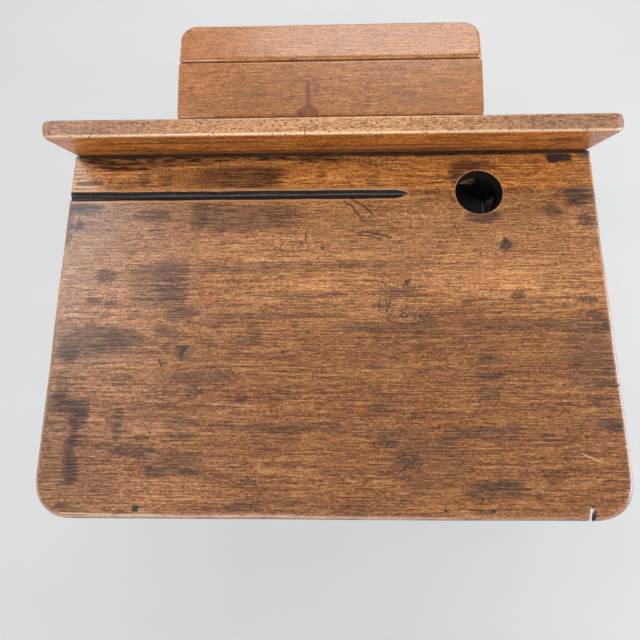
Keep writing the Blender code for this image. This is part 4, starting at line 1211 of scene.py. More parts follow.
# %% Groups: patch, block, scratch and pecks
def stain_group(name, squarish):
    """What is left clean round one stain: length of (place * scale + shift), ramped.

    Squaring the place first makes the length sqrt(x^4 + y^4), whose level lines are blocks
    with round corners.
    """
    group, g, out = new_group(
        name,
        {"Clean": ("Float", 1.0), "Vector": ("Vector", None), "Scale": ("Vector", (50, 50, 0)),
         "Shift": ("Vector", (0, 0, 0)), "Inner": ("Float", 0.5), "Outer": ("Float", 1.3),
         "Left over": ("Float", 0.5)},
        {"Clean": "Float"},
    )
    away = vectors(group, "MULTIPLY_ADD", g["Vector"], g["Scale"], g["Shift"])
    if squarish:
        away = vectors(group, "MULTIPLY", away, away)
    far = vectors(group, "LENGTH", away)
    left_over = ramped(group, far, g["Inner"], g["Outer"], g["Left over"], 1.0)
    group.links.new(product(group, g["Clean"], left_over), out["Clean"])
    return group


patch_group, block_group = stain_group("patch", False), stain_group("block", True)

scratch_group, g, out = new_group(
    "scratch",
    {"Clean": ("Float", 1.0), "Vector": ("Vector", None), "Start": ("Vector", (0, 0, 0)),
     "Run": ("Vector", (0.01, 0, 0)), "Per square": ("Float", 10000.0), "Core": ("Float", 0.0002),
     "Half": ("Float", 0.0004), "Left over": ("Float", 0.3)},
    {"Clean": "Float"},
)
away = vectors(scratch_group, "SUBTRACT", g["Vector"], g["Start"])
along_run = vectors(scratch_group, "DOT_PRODUCT", away, g["Run"])
share = maths(scratch_group, "MULTIPLY", along_run, g["Per square"], clamp=True)
nearest = add_node(scratch_group, "VectorMath", {0: g["Run"], "Scale": share}, operation="SCALE")
gap = vectors(scratch_group, "DISTANCE", away, nearest.outputs[0])
left_over = ramped(scratch_group, gap, g["Core"], g["Half"], g["Left over"], 1.0)
scratch_group.links.new(product(scratch_group, g["Clean"], left_over), out["Clean"])

peck_group, g, out = new_group(
    "pecks",
    {"Vector": ("Vector", None), "Per metre": ("Vector", (300, 300, 0)), "Reach": ("Float", 0.3),
     "Struck": ("Float", 0.5)},
    {"Mask": "Float"},
)
stretched = vectors(peck_group, "MULTIPLY", g["Vector"], g["Per metre"])
cells = add_node(peck_group, "TexVoronoi", {"Vector": stretched, "Scale": 1.0},
                 voronoi_dimensions="2D").outputs
chance = add_node(peck_group, "SeparateXYZ", {0: cells["Color"]}).outputs
struck = maths(peck_group, "LESS_THAN", chance["X"], g["Struck"])
size = maths(peck_group, "MULTIPLY_ADD", chance["Y"], 0.8, 0.5)
limit = product(peck_group, g["Reach"], size)
near = ramped(peck_group, cells["Distance"], product(peck_group, limit, 0.5), limit, 1.0, 0.0)
peck_group.links.new(product(peck_group, near, struck), out["Mask"])


# %% Tables of marks laid down in a row
STAIN_REACH = (0.60, 1.15)
SCRATCH_REACH = (0.5, 1.35)
# Angle in degrees, cells per metre, reach in cells, and the share of the cells that is struck
PECKS = {
    "hatched": (58, (380.0, 140.0, 0), 0.55, 0.80),
    "dashed": (-6, (520.0, 250.0, 0), 0.62, 0.85),
    "speckled": (20, (400.0, 400.0, 0), 0.55, 0.45),
    "everywhere": (0, (90.0, 240.0, 0), 0.22, 0.10),
    "crumbs": (0, (520.0, 520.0, 0), 0.34, 0.16),
    "nicks": (0, (240.0, 480.0, 0), 0.36, 0.14),
    "pits": (0, (560.0, 760.0, 0), 0.46, 0.50),
}


def with_patches(tree, vector, marks, inner=STAIN_REACH[0], outer=STAIN_REACH[1]):
    """What is left clean after a table of stains: (x, y, half x, half y in mm, strength).

    A sixth number marks a block instead of an oval, and its reach is then squared.
    """
    clean = 1.0
    for x, y, half_x, half_y, strength, *squarish in marks:
        power = 2 if squarish else 1
        inputs = {"Clean": clean, "Vector": vector, "Scale": (1000 / half_x, 1000 / half_y, 0),
                  "Shift": (-x / half_x, -y / half_y, 0), "Inner": inner**power,
                  "Outer": outer**power, "Left over": 1 - strength}
        clean = use_group(tree, block_group if squarish else patch_group, inputs)["Clean"]
    return clean


def with_scratches(tree, vector, marks):
    """What is left clean after a table of lines: (x, y, x, y, half width in mm, strength)."""
    clean = 1.0
    for x, y, to_x, to_y, half, strength in marks:
        run = ((to_x - x) / 1000, (to_y - y) / 1000, 0)
        core, edge = (share * half / 1000 for share in SCRATCH_REACH)
        inputs = {"Clean": clean, "Vector": vector, "Start": (x / 1000, y / 1000, 0), "Run": run,
                  "Per square": 1 / (run[0] ** 2 + run[1] ** 2), "Core": core, "Half": edge,
                  "Left over": 1 - strength}
        clean = use_group(tree, scratch_group, inputs)["Clean"]
    return clean


def pecks(tree, vector, kind):
    """Mask of one kind of pecks, its cells turned to their angle."""
    angle, per_metre, reach, struck = PECKS[kind]
    if angle:
        turn = {"Vector": vector, "Rotation": (0, 0, math.radians(angle))}
        vector = add_node(tree, "Mapping", turn).outputs[0]
    inputs = {"Vector": vector, "Per metre": per_metre, "Reach": reach, "Struck": struck}
    return use_group(tree, peck_group, inputs)["Mask"]


def pecks_within(tree, vector, marks, kind):
    """Pecks of one kind, only where a table of areas has them."""
    if not marks:
        return 0.0
    return product(tree, pecks(tree, vector, kind), inverse(tree, with_patches(tree, vector, marks)))


print("mark groups ready")

# %% [markdown]
# ### The wood of every board
#
# All boards share one recipe: grain, edges that sleeves have rubbed paler and that carry a
# painted highlight, sides darkened by painted shade and dirt, dirt in the grain, and a thin worn
# shellac over it. The desktop, the top board and the seat add their own marks.
# A Mapping node turns the object's coordinates into the board's own, and each board slides
# along the tree by a different amount, so that no two show the same figure.


# %% Colour of the wood
DARK_WOOD = (0.085, 0.030, 0.011)
BROWN_WOOD = (0.235, 0.086, 0.026)
HONEY_WOOD = (0.430, 0.180, 0.058)
PALE_WOOD = (0.680, 0.350, 0.145)
NEAR_BLACK = (0.016, 0.011, 0.010)
WOOD_STOPS = ((0.10, DARK_WOOD), (0.36, BROWN_WOOD), (0.60, HONEY_WOOD), (0.95, PALE_WOOD))
LAYER_WEIGHTS = {"Bands": 0.28, "Streaks": 0.05, "Lines": 0.75, "Dashes": 0.92, "Grit": 1.02}


def centred(tree, grain, weights, scale, start):
    """A sum over layers of the grain: each one's distance from its middle, times its weight."""
    for label, weight in weights.items():
        weight *= scale
        apart = maths(tree, "MULTIPLY_ADD", grain[label], weight, -weight / 2)
        start = maths(tree, "ADD", start, apart)
    return start


def grain_colour(tree, grain, tone, contrast):
    """Wood colour: the weighted sum of the layers, read off four colours."""
    value = centred(tree, grain, LAYER_WEIGHTS, contrast, 0.5 + tone)
    ramp = add_node(tree, "ValToRGB", {"Fac": value})
    stops = ramp.color_ramp.elements
    for index, (place, colour) in enumerate(WOOD_STOPS):
        stop = stops[index] if index < 2 else stops.new(place)
        stop.position, stop.color = place, (*colour, 1)
    return ramp.outputs["Color"]


# %% Wood material
# Upward is 1 on a board's face, 0 on its sides and -1 on its underside
RUB_HIGHLIGHT_RISE, RUB_HIGHLIGHT_FALL = (0.20, 0.55), (0.80, 0.97)
ARRIS_RISE, ARRIS_FALL = (0.15, 0.40), (0.85, 0.97)
SIDE_SHADE_RANGE = (0.15, 0.62)
RUB_AND_HIGHLIGHT, PORE_DARK, BLOTCH = 0.6, 0.6, 0.22
BLOTCH_WAVES, BLOTCH_RANGE = (9.0, 34.0, 34.0), (0.52, 0.74)
RUB_HIGHLIGHT_WAVES, RUB_HIGHLIGHT_RANGE = (30.0, 30.0, 30.0), (0.32, 0.6)
STREAK_ROUGH, LEAST_ROUGH = 0.25, 0.24
ARRIS_ROUGH = -0.35
SHELLAC_ON_FACE, SHELLAC_ON_ARRIS, SHELLAC_ROUGH = 0.25, 0.65, 0.17
SHELLAC_RANGE = (0.10, 0.30)


def board_coordinates(tree, plane):
    """Object coordinates turned into the board's own: the inverse of the matrix that placed it."""
    back_again = plane.inverted()
    seen = add_node(tree, "TexCoord").outputs
    turn = back_again.to_euler()
    mapping = add_node(tree, "Mapping", {"Vector": seen["Object"], "Rotation": turn,
                                         "Location": back_again.to_translation()})
    facing = add_node(tree, "Mapping", {"Vector": seen["Normal"], "Rotation": turn},
                      vector_type="NORMAL")
    upward = add_node(tree, "SeparateXYZ", {0: facing.outputs[0]}).outputs["Z"]
    return mapping.outputs[0], upward


def facing_band(tree, upward, rise, fall):
    """A mask of what faces between the face and the side: it rises, then falls again."""
    return product(tree, ramped(tree, upward, *rise), ramped(tree, upward, *fall, 1.0, 0.0))


def wood_material(name, plane, slide, tone=0.0, tint=(1, 1, 1), marks=None, side_shade_and_dirt=0.6,
                  coarse=1.0, contrast=1.0):
    """The shared recipe. marks, if given, changes colour, roughness and height for one board.

    A coarse number below one widens the grain across the board, and contrast is the grain's.
    """
    material, tree, shader = new_material(name)
    place, upward = board_coordinates(tree, plane)
    along = vectors(tree, "MULTIPLY_ADD", place, (1, coarse, coarse), slide)
    grain = use_group(tree, grain_group, {"Vector": along})
    blotch = ramped(tree, noise(tree, along, BLOTCH_WAVES, 4.0, 0.6), *BLOTCH_RANGE)
    # Rubbed paler on the rounds, with a painted highlight there
    rub_and_highlight = product(tree, facing_band(tree, upward, RUB_HIGHLIGHT_RISE, RUB_HIGHLIGHT_FALL),
                  ramped(tree, noise(tree, along, RUB_HIGHLIGHT_WAVES, 3.0), *RUB_HIGHLIGHT_RANGE))
    # Painted shade, with some dirt: the sides of a board are darkened
    side = ramped(tree, maths(tree, "ABSOLUTE", upward), *SIDE_SHADE_RANGE, side_shade_and_dirt, 0.0)
    colour = layered(
        tree, grain_colour(tree, grain, tone, contrast),
        (1.0, tint, DYE),
        (product(tree, grain["Pores"], PORE_DARK), DARK_WOOD, PAINT),
        (product(tree, blotch, BLOTCH), DARK_WOOD, PAINT),
        (product(tree, rub_and_highlight, RUB_AND_HIGHLIGHT), PALE_WOOD, PAINT),
        (side, DARK_WOOD, PAINT),
    )
    rough = maths(tree, "MULTIPLY_ADD", grain["Streaks"], STREAK_ROUGH, LEAST_ROUGH)
    height = grain["Height"]
    if marks:
        colour, rough, height = marks(tree, place, grain, colour, rough, height)
    bump = add_node(tree, "Bump", {"Height": height, "Strength": 0.35, "Distance": 0.0004})
    arris = facing_band(tree, upward, ARRIS_RISE, ARRIS_FALL)
    rough = product(tree, rough, maths(tree, "MULTIPLY_ADD", arris, ARRIS_ROUGH, 1.0))
    shellac = maths(tree, "MULTIPLY_ADD", arris, SHELLAC_ON_ARRIS,
                    ramped(tree, upward, *SHELLAC_RANGE, 0.0, SHELLAC_ON_FACE))
    finish_with(tree, shader, colour, rough, bump, **{"Coat Weight": shellac})
    shader.inputs["Coat Roughness"].default_value = SHELLAC_ROUGH
    return material


RUN_SHARES = {"X": {"Streaks": 0.085, "Lines": 0.060, "Dashes": 0.016},
              "Y": {"Dashes": 0.009, "Grit": 0.005}}


def run_along(tree, grain, amount=1.0):
    """How far each line of the grain shifts what lies on it.

    An amount of one is centimetres along the board and millimetres across it.
    """
    axes = {axis: centred(tree, grain, weights, amount, 0.0) for axis, weights in RUN_SHARES.items()}
    return add_node(tree, "CombineXYZ", axes).outputs[0]


def ramps_on(tree, place, table):
    """The three axes of a place, and masks that run along them.

    A row of the table is an axis and the two places, in metres, where the mask starts and
    ends, and if it doesn't rise from 0 to 1, its two values there.
    """
    axes = add_node(tree, "SeparateXYZ", {0: place}).outputs
    return axes, {name: ramped(tree, axes[axis], *limits) for name, (axis, *limits) in table.items()}


# %% [markdown]
# ### The marks on the desktop
#
# The tables are in millimetres from the seam, x to the right and y towards the back, so the
# front edge is near -405. Soft stains are hand dirt, crisp ones are spilt ink, grey ones a
# bloom in the finish, and light ones are worn through to paler wood. Two short lines paint a
# highlight and a shade into the chip.

# %% Tables of marks
SOFT_STAINS = (
    (-108, -30, 55.8, 16.7, 0.55, 1), (-95, -30, 42.9, 15.4, 0.45, 1), (-192, -31, 10.7, 11, 0.45),
    (-216, -31, 5.9, 11.6, 0.55), (-10, -32, 10.5, 8.3, 0.5), (52, -35, 9.3, 8.3, 0.5),
    (166, -19, 31.7, 7.7, 0.55), (175, -83, 23.6, 7.9, 0.85), (251, -76, 11.7, 10.4, 0.6),
    (282, -66, 13.4, 7.4, 0.6), (289, -87, 11.6, 7.9, 0.6), (281, -56, 18, 12.4, 0.6),
    (149, -34, 13.2, 15.2, 0.6), (156, -25, 19, 14.1, 0.6), (168, -18, 21.3, 6.4, 0.6),
    (-92, -81, 65.5, 17, 0.5, 1), (-149, -78, 9.8, 19.5, 0.55, 1), (-203, -77, 22.1, 10, 0.5),
    (-284, -67, 24.7, 6.3, 0.6), (-299, -91, 4.1, 28.4, 0.6), (-289, -90, 5.2, 8.7, 0.7),
    (-191, -160, 35.4, 26.1, 0.35, 1), (-175, -143, 16.9, 15.9, 0.35, 1),
    (-175, -173, 18.4, 14.4, 0.4, 1),
    (-250, -150, 13.6, 9.4, 0.6), (-262, -178, 9.5, 4.6, 0.6), (-243, -183, 11.2, 4.6, 0.4),
    (-247, -221, 46.8, 15.5, 0.5), (-284, -236, 13.2, 13.1, 0.65), (-284, -279, 7.5, 29, 0.45),
    (-138, -264, 42.8, 6.9, 0.5), (-145, -279, 10.1, 7.9, 0.35), (-93, -285, 6.9, 6.2, 0.55),
    (-80, -141, 80.2, 6.2, 0.4, 1), (-24, -174, 41.3, 4, 0.45, 1), (-29, -186, 45.4, 3.4, 0.4, 1),
    (-54, -197, 71, 3.4, 0.45, 1), (-82, -217, 10.9, 15.4, 0.4), (218, -209, 83.2, 6.3, 0.35, 1),
    (295, -210, 8.4, 6, 0.5), (67, -139, 66.4, 4.7, 0.4, 1), (64, -210, 64, 6.6, 0.45, 1),
    (79, -172, 32.2, 6.3, 0.5), (207, -176, 8.1, 8.4, 0.6), (227, -183, 7, 2.8, 0.7),
    (279, -180, 13.9, 3.9, 0.5), (283, -197, 10.1, 5.5, 0.4), (274, -240, 25, 35.1, 0.35, 1),
    (169, -246, 16.8, 6.4, 0.5), (170, -262, 16.1, 4.2, 0.65), (99, -257, 6.8, 3.2, 0.45),
    (48, -252, 7.4, 4.3, 0.45), (53, -297, 19.7, 5.6, 0.55), (84, -304, 4.6, 4.1, 0.6),
    (59, -329, 12.2, 6.9, 0.3), (80, -349, 15.1, 13.1, 0.25), (96, -345, 45.4, 31.7, 0.25, 1),
    (161, -321, 40.6, 7, 0.5, 1), (119, -328, 10.7, 5.9, 0.45), (166, -281, 14.4, 8.2, 0.45),
    (168, -376, 30.2, 9, 0.5, 1), (172, -373, 23.8, 4.3, 0.55, 1), (145, -380, 5.9, 4.2, 0.5),
    (287, -312, 15.1, 8, 0.6), (290, -315, 9.5, 5, 0.7), (276, -291, 5.6, 2.5, 0.6),
    (287, -271, 16.9, 4.1, 0.5), (-268, -294, 15, 9.9, 0.75, 1), (-265, -309, 11.1, 9.2, 0.75, 1),
    (-269, -336, 6.3, 22.5, 0.75, 1), (-267, -359, 8.3, 14.2, 0.75, 1), (-289, -290, 9.7, 13.1, 0.6),
    (-222, -311, 7.9, 19.4, 0.5), (-221, -321, 5.8, 8.6, 0.6), (-204, -341, 26, 6.5, 0.6, 1),
    (-155, -312, 18.9, 4.6, 0.6, 1), (-151, -324, 13.6, 4, 0.5, 1), (-152, -352, 22.7, 13.3, 0.5, 1),
    (-147, -360, 10.3, 5.4, 0.55), (-180, -360, 10.8, 5.9, 0.65, 1), (-195, -327, 8.4, 5.5, 0.35),
    (-73, -315, 62.4, 3.8, 0.45, 1), (41, -318, 51.4, 3.5, 0.3, 1), (-91, -394, 21.1, 4.2, 0.45),
    (-270, -394, 9.2, 3.3, 0.55), (-125, -394, 6, 2.8, 0.35), (-251, -350, 27, 37, 0.25, 1),
    (-178, -215, 16.4, 7.2, 0.55, 1), (-176, -231, 7.1, 5.5, 0.5), (-163, -195, 17.7, 8.5, 0.65, 1),
    (285, -57, 22.5, 13.6, 0.35), (-8, -315, 23.3, 4, 0.35, 1), (-55, -389, 45.2, 8.5, 0.2),
)
SEAM_GRIME = (
    (-246, -7, 51, 5.9, 0.95, 1), (-242, -14, 41.9, 7.9, 0.8), (-150, -6, 44.7, 3.9, 0.95, 1),
    (-43, -6, 61.9, 3.9, 0.95, 1), (92, -3, 72.9, 2.9, 0.9, 1), (-73, -32, 19.3, 10.9, 0.5, 1),
    (-5, -9, 29.4, 3.9, 0.7, 1), (-242, -15, 29.9, 4.6, 0.8, 1), (-173, -11, 38.7, 4.6, 0.6, 1),
    (193, -3, 28.9, 1.9, 0.7, 1),
)
INK_STAINS = (
    (-281, -36, 17.9, 3.2, 0.6, 1), (-228, -37, 17.8, 2.6, 0.4, 1), (267, -9, 16.1, 5.2, 0.8, 1),
    (260, -12, 7.4, 4.5, 0.8), (296, -6, 9.7, 5.8, 0.5, 1), (-196, -395, 3.6, 3.3, 0.85, 1),
    (85, -160, 3.3, 4, 0.55), (-50, -237, 2.1, 2.2, 0.8), (-8, -119, 2.8, 2.4, 0.6),
    (114, -396, 2.2, 1.9, 0.75), (148, -396, 2.5, 1.6, 0.75), (161, -396, 2.9, 1.9, 0.8),
    (233, -97, 1.1, 1.2, 0.7), (217, -69, 1.1, 1.2, 0.6), (249, -139, 1.4, 1.5, 0.7),
    (168, -127, 1.1, 2.4, 0.7), (103, -131, 1.1, 3.5, 0.6), (-103, -93, 1.1, 1.3, 0.6),
    (-13, -131, 1.4, 1.8, 0.6), (-33, -13, 2.4, 2, 0.5), (196, -117, 6.6, 6.8, 0.6),
    (197, -111, 3.3, 4.8, 0.5), (-203, -96, 4.6, 1.1, 0.8, 1), (-195, -96, 2.3, 1, 0.7, 1),
    (151, -385, 2, 1.4, 0.8),
)
HATCHED = (
    (196, -117, 9.9, 10.1, 1), (80, -348, 16.7, 14.6, 1), (59, -329, 14.3, 8.9, 0.9),
    (-145, -279, 10.6, 8.4, 0.85), (79, -367, 11, 3.8, 0.9), (89, -376, 7, 2.8, 0.7),
    (-93, -285, 7.9, 7.3, 0.5), (73, -390, 13.9, 4.2, 0.6), (216, -322, 22.7, 6.4, 0.35),
)
DASHED = (
    (58, -184, 13.6, 6.8, 0.95), (65, -194, 7, 10.1, 0.95), (82, -193, 8.6, 9.5, 0.95),
    (99, -197, 10.2, 7.8, 0.95), (94, -186, 4.3, 6.7, 0.6), (73, -164, 37.2, 5.7, 0.75),
    (280, -180, 14.9, 5, 0.9), (283, -197, 11.7, 6.6, 0.95), (252, -186, 10.1, 1.7, 0.8),
    (121, -195, 7, 2.8, 0.7), (149, -183, 5.9, 3.4, 0.6), (290, -89, 13.8, 9.1, 0.6),
    (-252, -179, 19.6, 6.3, 0.5), (-250, -150, 13, 8.8, 0.6), (258, -7, 12.6, 7.7, 0.5),
    (51, -10, 31.5, 7.8, 0.6), (-152, -29, 47.2, 12.3, 0.3),
)
SPECKLED = (
    (-50, -113, 26, 12.6, 0.95), (-55, -111, 9.6, 6, 1), (-117, -262, 21.4, 9.6, 0.85),
    (-82, -367, 12.2, 6.3, 0.9), (-159, -264, 21.4, 6.4, 0.4), (65, -122, 4.5, 4.7, 0.8),
    (82, -121, 7.2, 4.2, 0.8), (-285, -74, 10.6, 10.6, 0.6), (-288, -319, 10.6, 6.1, 0.6),
    (-93, -394, 23.1, 5.2, 0.6), (-3, -124, 10.1, 11.3, 0.4), (49, -82, 31.2, 9.2, 0.4),
    (136, -191, 26.9, 11.2, 0.25), (224, -50, 22.6, 7.5, 0.85), (278, -48, 31, 15, 0.6),
    (291, -86, 15, 16.3, 0.8), (196, -117, 8.8, 8.9, 0.25),
)
GREY_STAINS = (
    (-255, -228, 60.4, 23.1, 0.45), (-284, -320, 23.3, 68.1, 0.3, 1),
    (-189, -161, 35.9, 26.7, 0.35, 1), (-280, -69, 25.8, 8.2, 0.45), (-158, -237, 9.8, 9.2, 0.4),
)
LIGHT_STAINS = (
    (-171, -17, 40.4, 2, 0.7, 1), (-8, -33, 26.2, 8.9, 0.3), (-250, -24, 26.8, 7.8, 0.25),
    (-18, -160, 20.5, 9.8, 0.4, 1), (-62, -110, 28.3, 10.8, 0.25), (-247, -194, 50.1, 9.1, 0.35, 1),
    (187, -164, 11.9, 11.4, 0.3), (-169, -127, 68.2, 7.2, 0.25), (-182, -367, 21.6, 1.5, 0.6, 1),
    (-204, -308, 26.4, 5.1, 0.25), (-89, -296, 47.3, 5.1, 0.3, 1), (137, -78, 79, 10.4, 0.25),
    (-225, -169, 36.5, 9.2, 0.3, 1), (187, -156, 65.2, 12.6, 0.3), (192, -338, 40.2, 5.9, 0.2),
    (-170, -378, 51, 13.4, 0.6, 1), (178, -130, 77, 7, 0.25), (-50, -130, 61.8, 4.7, 0.2),
)
SCRATCHES = (
    (16.8, -61.6, 26.5, -68.5, 1.3, 0.75), (25.9, -67.9, 36.5, -83.4, 1.3, 0.8),
    (26, -60.2, 39, -67.5, 1.3, 0.8), (39, -67.5, 48.6, -77.4, 1.5, 0.75),
    (36.5, -83.4, 41.5, -90.8, 0.8, 0.5), (44.4, -59.4, 47.6, -70.6, 0.9, 0.4),
    (31.7, -101, 42.8, -99.9, 1.2, 0.8), (42.8, -99.9, 53.2, -102.1, 1.6, 0.85),
    (53.2, -102.1, 69.8, -106.8, 1.2, 0.85), (33.3, -103.5, 46.1, -105, 1, 0.75),
    (46.1, -105, 58.3, -108.7, 1.1, 0.75), (137.7, -95.4, 141.7, -92.3, 0.7, 0.85),
    (141.7, -92.3, 144.1, -97.5, 0.7, 0.85), (144.1, -97.5, 147.3, -92, 0.7, 0.85),
    (147.3, -92, 151.5, -96.5, 0.7, 0.85), (-27, -101.1, -26.5, -111.4, 0.9, 0.9),
    (88.6, -155.7, 81.7, -164.3, 1.2, 0.9), (71.4, -155.6, 71.1, -164.8, 0.5, 0.7),
    (-143.5, -211.6, -138.2, -223, 0.5, 0.75), (-18.4, -258.6, -18.5, -267.1, 0.6, 0.8),
    (-18.5, -267.1, -10.4, -267.3, 0.45, 0.5), (-195.4, -310, -186.4, -323.5, 0.55, 0.75),
    (-80.3, -394, -63.5, -384.7, 0.55, 0.7), (-38.3, -390.3, -36.7, -395.4, 0.6, 0.75),
    (-36.7, -395.4, -32.3, -400.9, 0.55, 0.7), (-32.3, -400.6, -17.2, -392.8, 0.6, 0.75),
    (-17.2, -392.8, -3.8, -393.6, 0.6, 0.75), (-241.7, -389.4, -222.2, -390.4, 0.45, 0.7),
    (-222.2, -390.4, -200.3, -391.1, 0.45, 0.7), (264.9, -274.6, 285.7, -272.3, 0.7, 0.8),
    (265.8, -301.2, 256, -315, 0.6, 0.75), (258.8, -256.4, 265.2, -272.1, 0.45, 0.6),
    (252.7, -245.9, 261.4, -260.6, 0.4, 0.5), (225.6, -203.7, 302.9, -203.6, 0.5, 0.6),
    (134.9, -205.6, 225.6, -203.7, 0.4, 0.4), (175.5, -11.3, 198, -19.3, 0.5, 0.5),
    (19.6, -19.7, 26, -64.2, 0.5, 0.4), (-45.9, -24.1, 0.8, -23.3, 0.45, 0.4),
    (225, -98.5, 262.7, -118.4, 0.4, 0.35), (69.6, -383.2, 89.7, -378.3, 0.4, 0.5),
    (-238.6, -133.7, -262.5, -145.4, 0.4, 0.4), (-164.9, -231, -153, -230.3, 1.3, 0.9),
    (-161.5, -233.7, -152.4, -231, 1.5, 0.9), (-160.7, -237, -154.9, -234.3, 1.7, 0.9),
    (-161, -241.9, -157.4, -238.1, 1.6, 0.85), (-159.6, -245.7, -158.8, -241.9, 0.9, 0.7),
    (-183.5, -245.1, -180.3, -251.6, 1.2, 0.9), (-180.8, -252.1, -177.9, -247.3, 1, 0.85),
    (-176.5, -251.6, -174.6, -247.3, 0.9, 0.7),
)
PALE_SCRATCHES = (
    (254.9, -341.3, 271.8, -349, 0.5, 0.8), (-272.1, -400.2, -219.1, -400.8, 0.7, 0.6),
    (-213, -401.2, -170.5, -401.2, 0.6, 0.5), (-131.2, -291.2, -78.4, -294.3, 0.5, 0.4),
)
RED_MARKS = (
    (-50, -102, 8, 2.1, 0.45), (19, -102, 9, 2.4, 0.5), (-129, -177, 8.9, 5.1, 0.4),
    (-132, -153, 5, 5.2, 0.35), (32, -297, 7.8, 4.6, 0.5), (95, -291, 6.2, 4.6, 0.5),
    (100, -309, 3.1, 3, 0.5), (6, -329, 3.1, 3, 0.45), (-104, -179, 5.5, 2.8, 0.3),
)
# Painted highlight on the chip's left facet, and painted shade in its right side
CHIP_PAINTED_SHINE = ((257.7, -394.5, 255.8, -409.0, 1.7, 0.9),)
CHIP_PAINTED_SHADE = ((259.7, -396.0, 260.9, -409.0, 1.4, 0.97), (258.6, -391.0, 259.6, -398.0, 0.6, 0.9))
AREAS = {"soft": SOFT_STAINS, "grime": SEAM_GRIME, "ink": INK_STAINS, "hatched": HATCHED,
         "dashed": DASHED, "speckled": SPECKLED, "grey": GREY_STAINS, "light": LIGHT_STAINS,
         "red": RED_MARKS}
LINES = {"scratches": SCRATCHES, "pale scratches": PALE_SCRATCHES, "chip's painted shade": CHIP_PAINTED_SHADE,
         "chip's painted shine": CHIP_PAINTED_SHINE}
print("marks on the desktop:", {name: len(table) for name, table in {**AREAS, **LINES}.items()})

# %% [markdown]
# A material with all these marks at once is more than the renderer takes. The desktop's mesh
# was therefore cut into nine zones, and each gets a material of the same recipe that holds only
# the marks that can reach it. Where two zones meet, both hold the same marks, so no line shows.
# The wall of the ink hole gets a tenth: near black and matt, a painted shade.

# %% Marks of one zone
DRIFT = (20, 7)
STAIN_ROOM = 1.2
LINE_ROOM = 3


def marks_near(table, zone, lines=False):
    """The rows whose box, with room for the grain's shift, meets the zone (low, high) in metres."""
    low, high = zone
    kept = []
    for row in table:
        first, second = np.array(row[:2]), np.array(row[2:4])
        room = second * STAIN_ROOM + DRIFT
        ends = (first, second) if lines else (first - room, first + room)
        lowest, highest = np.minimum(*ends) - LINE_ROOM, np.maximum(*ends) + LINE_ROOM
        if (lowest < 1000 * high).all() and (highest > 1000 * low).all():
            kept.append(row)
    return kept


# %% Colours and places of the desktop's own finish
# Painted light: the strip behind the groove is dyed redder and lighter, making up for the top board's
# shade
REAR_TINT_AND_PAINTED_LIGHT = (1.52, 1.38, 0.84)
# Painted sheen: the left side is dyed cooler, like a window's reflection in the finish
LEFT_PAINTED_SHEEN = (0.82, 0.92, 1.30)
# Darker towards the front of the desktop, less so at the left
FRONT_DARKENING = (0.66, 0.62, 0.60)
WORN_PALER = (1.50, 1.52, 1.62)
BLOOM = (0.40, 0.45, 0.62)
HAND_DIRT = (0.21, 0.17, 0.19)
SEAM_DIRT = (0.085, 0.048, 0.034)
# Painted shade for the undercut of the front and left edges
PAINTED_UNDERCUT_SHADE = (0.25, 0.20, 0.19)
RED_STAIN = (0.42, 0.055, 0.025)
INK = (0.020, 0.013, 0.012)
SEAM_BLACK = (0.016, 0.009, 0.007)
RUBBED_LIP = (0.560, 0.250, 0.090)
CHARCOAL = (0.017, 0.011, 0.008)
CRUMB = (0.150, 0.095, 0.065)
SCORED_WOOD = (0.030, 0.013, 0.006)
PALE_SCORE = (0.62, 0.44, 0.33)
# Painted highlight of the chip's facet
CHIP_PAINTED_HIGHLIGHT = (0.72, 0.76, 0.84)
DESK_RAMPS = {
    "rear strip": ("Y", -0.052, -0.046, 0.0, 0.75),
    "painted sheen at the left": ("X", -0.245, -0.030, 0.6, 0.0),
    "less darkening at the left": ("X", -0.24, -0.08, 0.55, 1.0),
    "undercut_shade": ("Z", -0.0046, -0.0018, 1.0, 0.0),
    "front edge": ("Y", -0.385, -0.375, 1.0, 0.0),
    "left edge": ("X", -0.280, -0.270, 1.0, 0.0),
    "before the tip": ("X", GROOVE_TIP - 0.002, GROOVE_TIP + 0.003, 1.0, 0.0),
    "near the face": ("Z", -0.0050, -0.0020),
}
WOBBLE_WAVES, WOBBLE = (34.0, 70.0, 70.0), (0.016, 0.007, 0)
RUN, INK_RUN, GRIME_RUN = 0.13, (0.4, 1.0, 0), (2.0, 1.6, 0)
UPTAKE = (0.66, 1.04, 1.18, 0.88)
GRIME_UPTAKE = (0.40, 0.58, 1.20, 0.50)
INK_REACH, GRIME_REACH = (0.75, 1.10), (0.70, 1.15)
FRONT_DARKENING_END, FRONT_DARKENING_SWAY = (-0.175, -0.125, 1.0, 0.0), 0.09
SEAM_LINE, SEAM_SWAY = (-0.0026, 0.0004, 0.0, 0.9), 0.006
LIP_RANGE = (0.0076, 0.0092, 0.75, 0.0)
GROOVE_REACH = 0.0075
GROOVE_SWAY, GROOVE_TOP = 0.0012, -0.0009
RIM_RANGE = (INK_RADIUS + 0.0012, INK_RADIUS + 0.0020, 0.35, 0.0)


def groove_masks(tree, grain, axes, before_tip):
    """The rubbed lips beside the groove, and the black inside it, from the distance to its line."""
    from_line = maths(tree, "ABSOLUTE", maths(tree, "SUBTRACT", axes["Y"], GROOVE_Y))
    lips = product(tree, ramped(tree, from_line, *LIP_RANGE), before_tip)
    ragged = maths(tree, "MULTIPLY_ADD", grain["Dashes"], GROOVE_SWAY, GROOVE_TOP)
    inside = product(tree, maths(tree, "LESS_THAN", from_line, GROOVE_REACH),
                     maths(tree, "LESS_THAN", axes["Z"], ragged),
                     maths(tree, "LESS_THAN", axes["X"], GROOVE_TIP + 0.010))
    return lips, inside


